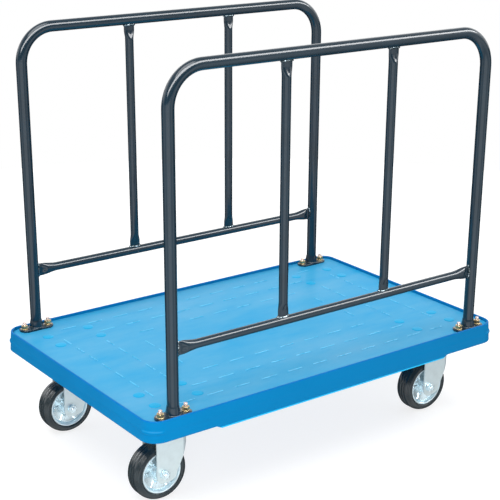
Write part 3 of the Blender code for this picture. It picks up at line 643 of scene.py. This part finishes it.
def hoop_data():
    """The bent tube from one foot to the other."""
    centre = (POST_X - BEND, TOP_Z - BEND)
    low = FLOOR_Z + 2 * GAP + SOCKET_FLOOR
    points, outs = [(POST_X, low), (POST_X, (low + centre[1]) / 2)], [(1, 0), (1, 0)]
    for turn in quarter(20):
        points.append((centre[0] + BEND * math.cos(turn), centre[1] + BEND * math.sin(turn)))
        outs.append((math.cos(turn), math.sin(turn)))
    points += [(-x, z) for x, z in reversed(points)]
    outs += [(-x, z) for x, z in reversed(outs)]
    return data_from(swept(points, outs, TUBE_R, 48), "hoop", 60)


def flattened(length, flat, pinch, spread, tall, sides=40):
    """A tube along X whose ends are pressed flat over the pinch and grow taller over the spread."""
    half, thin = length / 2, 0.0028
    spots = [0.0, flat] + [flat + pinch * i / 12 for i in range(1, 13)]
    if spread > pinch:
        spots += [flat + pinch + (spread - pinch) * i / 10 for i in range(1, 11)]

    def section(spot):
        press, growth = [0.5 + 0.5 * math.cos(math.pi * min(1.0, max(0.0, (spot - flat) / span)))
                         for span in (pinch, spread)]
        a = SMALL_R + (thin - SMALL_R) * press
        b = SMALL_R + (tall - SMALL_R) * growth
        power = 1.0 - 0.30 * press
        crease = 0.34 * press * (1.0 - press) * 4
        points = []
        for cx, cy in circle(1.0, sides):
            x = math.copysign(abs(cx) ** power, cx)
            y = math.copysign(abs(cy) ** power, cy)
            dent = 1.0 - crease * max(0.0, 1.0 - abs(y) * 2.2) ** 2
            points.append((a * x * dent, b * y))
        return points

    rings = [[(-half + d, y, z) for y, z in section(d)] for d in spots]
    rings += [[(half - d, y, z) for y, z in section(d)] for d in reversed(spots)]
    return loft(rings)


def bead(mesh, path, radius, seed):
    """A lumpy weld bead along a closed path of 3-D points."""
    picker = random.Random(seed)
    count, sides = len(path), 10
    rings = []
    for i, point in enumerate(path):
        point = Vector(point)
        ahead = (Vector(path[(i + 1) % count]) - Vector(path[i - 1])).normalized()
        side = ahead.orthogonal().normalized()
        other = ahead.cross(side)
        swell = radius * (1.0 + 0.16 * math.sin(i * 1.9 + seed) + picker.uniform(-0.06, 0.06))
        rings.append([point + side * a * swell + other * b * swell
                      for a, b in circle(1.0, sides)])
    aligned = [rings[0]]
    for ring in rings[1:]:
        shift = min(range(sides), key=lambda s: (ring[s] - aligned[-1][0]).length)
        aligned.append(ring[shift:] + ring[:shift])
    loft(aligned, endless=True, into=mesh)


def dip(radius, across):
    """How far a weld's path lies below a tube's crest, at a distance across the tube."""
    return radius - math.sqrt(radius ** 2 - across ** 2) - WELD_SINK


def add_welds(mesh, number, end, y, low, high):
    """The beads at both ends of a bar, and at one end of the rail."""
    turns = circle(1.0, 44)
    wide, thin = BAR_WELD
    for z, radius, up in ((low, SMALL_R, 1), (high, TUBE_R, -1)):
        bead(mesh, [(end * BAR_X + wide * a, y + thin * b, z - up * dip(radius, thin * b))
                    for a, b in turns], WELD_R, number * 7 + 3)
    thin, tall = RAIL_WELD
    bead(mesh, [(end * (POST_X - TUBE_R + dip(TUBE_R, thin * a)), y + thin * a, RAIL_Z + tall * b)
                for a, b in turns], WELD_R, number * 5 + 1)


def build_hoops():
    """On each side a hoop, its lower rail, two upright bars and their weld beads."""
    hoop = hoop_data()
    rail_length = 2 * POST_X - 2 * TUBE_R - 2 * GAP
    rail = data_from(flattened(rail_length, flat=0.005, pinch=0.015, spread=0.040, tall=0.0138),
                     "rail", 60)
    low, high = RAIL_Z + SMALL_R + GAP, TOP_Z - TUBE_R - GAP
    bar_mesh = flattened(high - low, flat=0.010, pinch=0.020, spread=0.020, tall=0.0124)
    bar = data_from(rotated(bar_mesh, math.pi / 2, "Y"), "bar", 60)
    for side_name, side in SIDES:
        y = side * HOOP_Y
        piece(f"{side_name}_hoop_tube", hoop, SLATE, "cart",
              [f"{side_name}_hoop"], (0, y, 0))
        piece(f"{side_name}_rail_tube", rail, SLATE, "cart",
              [f"{side_name}_lower_rail"], (0, y, RAIL_Z))
        welds = bmesh.new()
        for number, (end_name, end) in enumerate(ENDS):
            piece(f"{side_name}_bar_tube_{end_name}", bar, SLATE, "cart",
                  [f"{side_name}_bar_{end_name}"], (end * BAR_X, y, (low + high) / 2))
            add_welds(welds, number, end, y, low, high)
        piece(f"{side_name}_welds", data_from(welds, f"{side_name}_welds", 60), WELD, "cart")


# Bolts and nuts

def hex_ring(flats, cap, z, sides=72):
    """A hexagon with its corners cut back to the radius of a cap."""
    points = []
    for i in range(sides):
        turn = math.tau * i / sides
        r = min(flats / 2 / math.cos(from_sixth(turn)), cap)
        points.append((r * math.cos(turn), r * math.sin(turn), z))
    return points


def hex_body(flats, height, z, bore, into, top_only=False):
    """A hexagon with rounded-off corners at its ends, round a bore."""
    wide = flats / 2
    corner, face = wide / math.cos(math.pi / 6), wide * 0.985
    chamfer = (corner - wide) * 0.58
    rings = []

    def ring(cap, level):
        rings.append(hex_ring(flats, cap, z + level))

    if top_only:
        ring(corner, 0.0)
    else:
        ring(face, 0.0)
        for i in range(1, 5):
            ring(wide + (corner - wide) * i / 4, chamfer * i / 4)
    for i in range(4, 0, -1):
        ring(wide + (corner - wide) * i / 4, height - chamfer * i / 4)
    ring(face, height)
    if bore:
        rings += [[(x, y, level) for x, y in circle(bore, 72)] for level in (z + height, z)]
    loft(rings, endless=bore > 0, into=into)


def thread(radius, depth, pitch, low, high, into, sides=28, tip=0.0008):
    """A threaded shaft with a helical groove and a chamfered end."""
    rings = []
    steps = max(4, round((high - low) / pitch * 6))
    for k in range(steps + 1):
        z = low + (high - low) * k / steps
        cap = radius - max(0.0, z - (high - tip)) * 0.9
        ring = []
        for i in range(sides):
            turn = math.tau * i / sides
            phase = (z / pitch - i / sides) % 1.0
            r = min(cap, radius - depth * abs(2 * phase - 1))
            ring.append((r * math.cos(turn), r * math.sin(turn), z))
        rings.append(ring)
    loft(rings, into=into)


def nut_piece_data():
    """A hexagon nut on a low round flange."""
    mesh = bmesh.new()
    bore, flange, foot, height = 0.0043, 0.0158 / 2, 0.0008, 0.0075
    turned([(bore, 0.0), (flange - 0.0003, 0.0), (flange, 0.0003), (flange - 0.0003, 0.0006),
            (0.0064, 0.0011), (0.0060, 0.0013), (bore, 0.0013)], 72, mesh)
    hex_body(M8_FLATS, height - foot, foot, bore, mesh, top_only=True)
    return data_from(mesh, "flange_nut", 32)


# Feet

def foot_piece_data():
    """A plate with round ends, and a collar that narrows towards the post over a weld bead."""
    end_r = FOOT_WIDTH / 2
    run = FOOT_LENGTH / 2 - end_r
    outline = stadium(run, end_r, 24)

    def inset(by):
        result = []
        for x, y in outline:
            cx = max(-run, min(run, x))
            length = math.hypot(x - cx, y)
            result.append((cx + (x - cx) * (1 - by / length), y * (1 - by / length)))
        return result

    mesh = stacked([
        (inset(0.0005), 0.0),
        (outline, 0.0005),
        (outline, FOOT_THICK - 0.0010),
        (inset(0.0003), FOOT_THICK - 0.0004),
        (inset(0.0010), FOOT_THICK),
    ])
    bore = TUBE_R + GAP
    wide, slim = bore + 0.0026, TUBE_R + 0.0004
    waist, top = FOOT_THICK + 0.0025, FOOT_THICK + 0.0170
    flare = [(wide, FOOT_THICK * 0.5), (wide + 0.0003, FOOT_THICK), (wide, waist)]
    flare += [(slim + (wide - slim) * (1 - i / 10) ** 0.8, waist + (top - waist) * i / 10)
              for i in range(1, 11)]
    turned(flare + [(TUBE_R + 0.0001, top - 0.0002), (TUBE_R + 0.0001, top - 0.0020),
                    (bore, top - 0.0030), (bore, FOOT_THICK * 0.5)], 64, mesh)
    bead(mesh, [(x, y, FOOT_THICK + 0.0003) for x, y in circle(wide + 0.0004, 56)], 0.0017, 4)
    return data_from(mesh, "foot_body", 45)


def build_feet():
    """At each corner a foot, its two bolts and their nuts."""
    foot = foot_piece_data()
    nut = nut_piece_data()
    seat = FLOOR_Z + GAP + FOOT_THICK + GAP
    under = SKIRT_Z + RECESS - GAP
    bolt_mesh = bmesh.new()
    hex_body(M8_FLATS, M8_HEAD, under - M8_HEAD, 0.0, bolt_mesh)
    thread(M8_R, 0.0003, M8_PITCH, under, seat + 0.0140, bolt_mesh, tip=0.0005)
    bolt = data_from(bolt_mesh, "foot_bolt_body", 32)

    picker = random.Random(11)
    for corner, end, side in CORNERS:
        y = side * HOOP_Y
        piece(f"{corner}_foot_body", foot, SLATE, "cart", [f"{corner}_foot"],
              (end * POST_X, y, FLOOR_Z + GAP))
        for letter, step in (("a", -1), ("b", 1)):
            name = f"{corner}_{letter}"
            x = end * POST_X + step * BOLT_X
            piece(f"nut_{name}", nut, GOLD, "cart", [f"foot_nut_{name}"],
                  (x, y, seat), turn_z=picker.uniform(0, 1))
            piece(f"bolt_{name}", bolt, TIP, "cart", [f"foot_bolt_{name}"],
                  (x, y, 0), turn_z=picker.uniform(0, 1))


# Casters

def plate_piece_data(boss):
    """A mounting plate with its four bolts and nuts, over an upper cup as deep as the boss."""
    half_x, half_y, r = 0.061, 0.040, 0.009
    outline = []
    for number, (sx, sy) in enumerate(QUADRANTS):
        outline += arc((sx * (half_x - r), sy * (half_y - r)), r, 90 * number, 90 * number + 90, 8)
    small = [(x * 0.988, y * 0.982) for x, y in outline]
    mesh = stacked([(small, PLATE_Z), (outline, PLATE_Z + 0.0007), (outline, CASTER_Z - 0.0007),
                    (small, CASTER_Z)])
    if boss:
        low, high = PLATE_Z - boss, PLATE_Z + 0.0006
        turned([(0.0066, low), (0.0212, low), (RACE_R, low + 0.0008),
                (0.0236, PLATE_Z - 0.0018), (0.0262, high), (0.0066, high)], 64, mesh)
    washer, washer_r, sunk = 0.0012, 0.0080, 0.0002
    for bx, by in CASTER_BOLTS:
        part = bmesh.new()
        turned([(M8_R, -washer), (washer_r, -washer), (washer_r, sunk), (M8_R, sunk)], 40, part)
        hex_body(M8_FLATS, M8_HEAD, -washer - M8_HEAD, 0.0041, part)
        thread(M8_R, 0.0005, M8_PITCH, -0.0010, 0.0085, part)
        for vert in part.verts:  # the thread's tip hangs below the nut
            if vert.co.z > 0.0005:
                vert.co.z = -vert.co.z
        absorb(mesh, moved(part, bx, by, PLATE_Z))
    bmesh.ops.recalc_face_normals(mesh, faces=mesh.faces)
    return data_from(mesh, "caster_plate_body", 35)


def race_piece_data():
    """The swivel's race, with a narrow groove round its middle."""
    low, high = CROWN_Z + GAP, CROWN_Z + 0.0062
    mid, inner = (low + high) / 2, RACE_R - 0.0014
    race = turned([(PIN_HOLE_R, low), (0.0214, low), (RACE_R, low + 0.0006),
                   (RACE_R, mid - 0.0008), (inner, mid - 0.0004), (inner, mid + 0.0004),
                   (RACE_R, mid + 0.0008), (RACE_R, high - 0.0006), (0.0214, high),
                   (PIN_HOLE_R, high)], 72)
    return data_from(race, "race_body", 40)


def pin_piece_data(crown, name):
    """A pin with a domed head under the fork's crown."""
    under, top = crown - CROWN_SHEET - GAP, PLATE_Z + 0.0012
    pin = turned([(0.0005, under - 0.0050), (0.0085, under - 0.0050), (0.0105, under - 0.0036),
                  (0.0110, under - 0.0020), (0.0110, under), (0.0060, under), (0.0060, top),
                  (0.0005, top)], 40)
    return data_from(pin, name, 40)


def fork_plan(inset, back):
    """The fork from above: two legs joined round the nose, inset by part of the sheet."""
    half, radius, nose = FORK_OUT - inset, 0.016 - inset, FORK_NOSE - inset
    bend = arc((nose - radius, half - radius), radius, 0, 90, 14)
    return [(back, -half)] + [(x, -y) for x, y in reversed(bend)] + bend + [(back, half)]


def fork_piece_data(crown_z, crown_inset, name, pin_x):
    """The pressed fork: bent sheet with a drawn-in crown and slanted legs with round tips."""
    crown = crown_z - AXLE_Z
    shoulder = CROWN_Z - 0.011 - AXLE_Z
    low, back = -0.0215, -0.015
    past, through = 0.002, 0.03  # how far the cutters reach beyond the sheet and across it

    def shell(inset, back, top, bottom):
        sections = [(fork_plan(inset, back), bottom), (fork_plan(inset, back), shoulder)]
        for turn in quarter(5, 1):
            level = shoulder + (top - shoulder) * math.sin(turn)
            sections.append((fork_plan(inset + crown_inset * (1 - math.cos(turn)), back), level))
        return stacked(sections)

    def rod(radius, sides, bottom, top):
        return stacked([(circle(radius, sides), bottom), (circle(radius, sides), top)])

    body = shell(0.0, back, crown, low)
    hollow = shell(FORK_SHEET, back - past, crown - CROWN_SHEET, low - past)
    top, tip, tip_r, heel_r = crown + past, -0.0195, 0.0140, 0.030
    outline = [(back - past, top), (back - past, tip + tip_r)]
    outline += arc((back + tip_r, tip + tip_r), tip_r, 180, 270, 14)[1:]
    outline += arc((0.0090, tip + heel_r), heel_r, -90, -52, 8)[1:]
    outline += [(0.0320, 0.0005), (0.0395, 0.0155), (0.0465, 0.0305), (0.0525, 0.0455),
                (0.0575, 0.0580), (0.062, 0.0700), (0.062, top)]
    prism = loft([[(x, y, z) for x, z in outline] for y in (-through, through)])
    axle = laid_on_y(rod(AXLE_R + 0.0004, 40, -through, through))
    pin = moved(rod(PIN_HOLE_R, 32, crown - 0.006, top), pin_x)
    return combine(body, [("INTERSECT", prism), ("DIFFERENCE", hollow), ("DIFFERENCE", axle),
                          ("DIFFERENCE", pin)], name)


def tyre_piece_data():
    """Rubber tyre: rounded crown, three fine grooves on each half, bead on the disc."""
    half, bore = WHEEL_WIDTH / 2, DISC_R + GAP
    side = [
        (bore, half - 0.0030), (bore + 0.0012, half - 0.0008), (bore + 0.0030, half),
        (WHEEL_R - 0.0098, half - 0.0001), (WHEEL_R - 0.0082, half - 0.0005),
    ]
    start_r, start_h, flat_h = WHEEL_R - 0.0078, half - 0.0007, 0.0062
    for turn in quarter(16, 1):
        side.append((start_r + (WHEEL_R - start_r) * math.sin(turn) ** 0.9,
                     start_h - (start_h - flat_h) * (1 - math.cos(turn)) ** 0.86))
    refined = []
    for (r0, h0), (r1, h1) in zip(side, side[1:]):
        refined.append((r0, h0))
        parts = max(2, math.ceil(math.hypot(r1 - r0, h1 - h0) / 0.00035))
        for k in range(1, parts):
            refined.append((r0 + (r1 - r0) * k / parts, h0 + (h1 - h0) * k / parts))
    last_r, last_h = side[-1]
    refined += [(last_r, last_h * (1 - k / 17)) for k in range(17)]
    cut = []
    for radius, height in refined:
        depth = sum(size * math.exp(-((height - g) / wide) ** 2) for g, size, wide in TYRE_GROOVES)
        cut.append((radius - (depth if radius > WHEEL_R - 0.008 else 0.0), height))
    mesh = laid_on_y(turned(cut + [(r, -h) for r, h in reversed(cut)], 144))
    for vert in mesh.verts:  # the flat on which the tyre rests
        vert.co.z = max(vert.co.z, -AXLE_Z)
    return data_from(mesh, "tyre_body", 40)


def disc_piece_data():
    """Pressed disc: hub, dished web with embossed radial beads, curled lip; both faces."""
    steps = 180
    hub, web, dish, lip = FORK_IN - 0.0014, 0.0085, 0.0040, WHEEL_WIDTH / 2 - 0.0022
    hub_r, web_r, edge_r, lip_rise = 0.0150, 0.0185, 0.0385, 0.0022
    groove, rib, rib_half = 0.0014, 0.0034, 0.0048

    def face(radius, turn):
        if radius < hub_r:
            return hub
        if radius < web_r:
            share = eased((radius - hub_r) / 0.0035)
            return hub * (1 - share) + web * share
        level = web + dish * ((radius - web_r) / (edge_r - web_r)) ** 1.5
        if radius > edge_r:
            share = eased((radius - edge_r) / lip_rise)
            level = (web + dish) * (1 - share) + lip * share
        level -= groove * math.exp(-((radius - 0.0386) / 0.0007) ** 2)
        across = abs(from_sixth(turn)) * radius / rib_half
        along = min(radius - 0.0205, 0.0378 - radius) / 0.0025
        return level + rib * eased((1.25 - across) / 0.45) * eased(along)

    radii = [0.0088, 0.0120, 0.0144, hub_r, 0.0155, 0.0160, 0.0165, 0.0170, 0.0175, 0.0180, web_r]
    radii += [web_r + 0.0200 * i / 26 for i in range(1, 27)]
    radii += [edge_r + lip_rise * i / 12 for i in range(1, 13)]
    rings = [[(x, y, face(radius, math.tau * i / steps))
              for i, (x, y) in enumerate(circle(radius, steps))] for radius in radii]
    for radius, height in ((DISC_R - 0.0024, lip + 0.0003), (DISC_R - 0.0014, lip + 0.0006),
                           (DISC_R - 0.0006, lip + 0.0003), (DISC_R, lip - 0.0006)):
        rings.append([(x, y, height) for x, y in circle(radius, steps)])
    back = [[(x, y, -z) for x, y, z in ring] for ring in reversed(rings)]
    return data_from(laid_on_y(loft(rings + back, endless=True)), "disc_body", 50)


def axle_piece_data():
    """A bolt through fork and wheel, its nut in front and its head behind, on washers."""
    face, washer, washer_r, flats = FORK_OUT + GAP, 0.0012, 0.0095, 0.0165
    hole = AXLE_R + 0.0001
    mesh = stacked([(circle(AXLE_R, 40), -face - 0.001), (circle(AXLE_R, 40), face + 0.001)])
    nut, head = bmesh.new(), bmesh.new()
    for part in (nut, head):
        turned([(hole, 0.0), (washer_r, 0.0), (washer_r, washer), (hole, washer)], 56, part)
    hex_body(flats, 0.0068, washer, 0.0049, nut)
    thread(0.0049, 0.0006, 0.0015, 0.004, 0.0110, nut)
    hex_body(flats, 0.0052, washer, 0.0, head)
    absorb(mesh, moved(nut, z=face))
    absorb(mesh, moved(rotated(head, math.pi, "X"), z=-face))
    return data_from(laid_on_y(mesh), "axle_body", 32)


def bush_piece_data():
    """The tube that the wheel turns on."""
    end, bore, edge = FORK_IN - GAP, 0.0053, 0.0080
    bush = turned([(bore, end), (edge, end), (0.0085, FORK_IN - 0.0010),
                   (0.0085, -FORK_IN + 0.0010), (edge, -end), (bore, -end)], 56)
    return data_from(laid_on_y(bush), "bush_body", 40)


def build_casters():
    """At each corner a caster; those on the left swivel and trail behind their pins."""
    plates = {True: plate_piece_data(0.0055), False: plate_piece_data(0.0)}
    crowns = {True: CROWN_Z, False: PLATE_Z - GAP}
    forks = {True: fork_piece_data(crowns[True], 0.0040, "swivel_fork_body", TRAIL),
             False: fork_piece_data(crowns[False], 0.0080, "fixed_fork_body", 0.0)}
    race, axle = race_piece_data(), axle_piece_data()
    tyre, disc, bush = tyre_piece_data(), disc_piece_data(), bush_piece_data()
    for name, end, side in CORNERS:
        swivels = name.endswith("left")
        seat = (end * CASTER_X, side * CASTER_Y, 0)
        hub = (seat[0] - (TRAIL if swivels else 0.0), seat[1], AXLE_Z)
        carrier, wheel = f"swivel_{name}" if swivels else "cart", f"wheel_{name}"
        piece(f"plate_{name}", plates[swivels], ZINC, "cart",
              [f"caster_plate_{name}"], seat)
        if swivels:
            piece(f"race_{name}", race, ZINC, "cart", [f"swivel_race_{name}"], seat)
        piece(f"pin_{name}", pin_piece_data(crowns[swivels], f"pin_{name}"), ZINC, "cart",
              [f"fork_pin_{name}"], seat)
        piece(f"fork_body_{name}", forks[swivels], ZINC, carrier,
              [f"fork_{name}"], hub, bevel=0.0006, segments=3)
        piece(f"axle_body_{name}", axle, WHEEL_ZINC, carrier, [f"axle_{name}"], hub)
        piece(f"tyre_body_{name}", tyre, RUBBER, wheel, [f"tyre_{name}"], hub)
        piece(f"disc_body_{name}", disc, WHEEL_ZINC, wheel,
              [f"wheel_disc_{name}"], hub)
        piece(f"bush_body_{name}", bush, ZINC, wheel, [f"hub_bush_{name}"], hub)


# Stage, light and camera

def build_floor():
    """A pale round floor that doesn't show in what is glossy."""
    outline = circle(2.4, 96)
    floor = stacked([(outline, -0.004), (outline, 0.0)])
    item = linked("studio_floor", data_from(floor, "studio_floor"))
    material, graph = new_material("studio_floor_surface")
    graph.fill(graph.shader, {
        "Base Color": (0.30, 0.30, 0.30, 1.0), "Roughness": 0.9, "Specular IOR Level": 0.0,
        "Emission Color": (1.0, 1.0, 1.0, 1.0), "Emission Strength": 0.79})
    item.data.materials.append(material)
    item.visible_glossy = False


def build_world():
    """White to the camera; a room of pale and dark walls to everything else."""
    world = bpy.data.worlds.new("studio")
    scene.world = world
    graph = Graph(world, "Background")
    seen = graph.shader
    graph.fill(seen, {"Color": (1.0, 1.0, 1.0, 1.0)})
    place = graph.place("Generated")
    height = graph.split(place)["Z"]
    facing = graph.vector_math("DOT_PRODUCT", place, (-0.593, -0.805, 0.0))["Value"]
    behind = graph.greys(height, (0.00, 1.20), (0.30, 1.80), (0.60, 0.70), (1.00, 0.45))
    ahead = graph.greys(height, (0.00, 0.14), (0.30, 0.26), (0.60, 0.42), (1.00, 0.45))
    below = graph.greys(graph.step(facing, -0.40, 1.00), (0.00, 0.04), (0.20, 0.45),
                        (0.50, 1.15), (0.90, 0.60), (0.985, 1.50))
    walls = graph.mix(graph.greys(facing, (0.00, 0.0), (0.50, 1.0)), behind, ahead)
    colour = graph.mix(graph.math("GREATER_THAN", height), below, walls)
    room = graph.add("Background", {"Color": colour})["Background"]
    camera_ray = graph.add("LightPath")["Is Camera Ray"]
    both = graph.add("MixShader", {0: camera_ray, 1: room, 2: seen.outputs["Background"]})
    graph.fill(graph.nodes["World Output"], {"Surface": both["Shader"]})
    scene.view_settings.view_transform = "Standard"


def aimed(item, place, target):
    """A light at a place, turned towards a target."""
    item.location = place
    item.rotation_euler = (Vector(place) - Vector(target)).to_track_quat("Z", "Y").to_euler()
    return item


def sun_light(name, place, strength, angle):
    """A distant round softbox: parallel light from a place towards the origin."""
    light = bpy.data.lights.new(name, "SUN")
    light.energy = strength
    light.angle = math.radians(angle)
    return aimed(linked(name, light), place, (0.0, 0.0, 0.0))


def area_light(name, place, target, size, power):
    """A rectangle of light at a place, turned towards a target."""
    light = bpy.data.lights.new(name, "AREA")
    light.shape = "RECTANGLE"
    light.size, light.size_y = size
    light.energy = power
    return aimed(linked(name, light), place, target)


def build_camera():
    """The camera fitted to the photograph, in units of half the distance between the posts."""
    unit, level = POST_X, 0.2182
    yaw, pitch, roll = -0.635249, -0.353021, 0.005478
    image, focal, horizon, sensor = 500, 1262.66, 50.0, 36.0
    camera = bpy.data.cameras.new("camera")
    item = linked("camera", camera)
    forward = Vector((-math.sin(yaw) * math.cos(pitch), math.cos(yaw) * math.cos(pitch),
                      math.sin(pitch)))
    right = forward.cross(Vector((0, 0, 1))).normalized()
    up = right.cross(forward)
    right, up = (math.cos(roll) * right + math.sin(roll) * up,
                 -math.sin(roll) * right + math.cos(roll) * up)
    turn = Matrix((right, up, -forward)).transposed()
    item.matrix_world = Matrix.Translation(
        Vector((-3.982135 * unit, -5.375660 * unit, 2.615318 * unit + level))) @ turn.to_4x4()
    camera.sensor_width = sensor
    camera.lens = sensor * focal / image
    camera.shift_y = horizon / image
    camera.clip_start, camera.clip_end = 0.05, 60
    scene.camera = item


build_shell()
build_ribs()
build_lips()
build_tread()
build_hoops()
build_feet()
build_casters()
build_floor()
build_world()
sun_light("key", (-0.55, -0.57, 3.3), 2.35, 50)
# The strip shows only in what is glossy, and the fill shows in nothing
strip = area_light("strip", (0.0, -2.6, 3.6), (0.0, 0.0, 0.5), (16.0, 1.6), 1000)
strip.visible_diffuse = False
fill = area_light("fill", (-1.0, -1.1, 0.40), (-0.40, -0.30, 0.18), (0.5, 0.5), 5.5)
fill.visible_glossy = False
fill.visible_camera = False
build_camera()
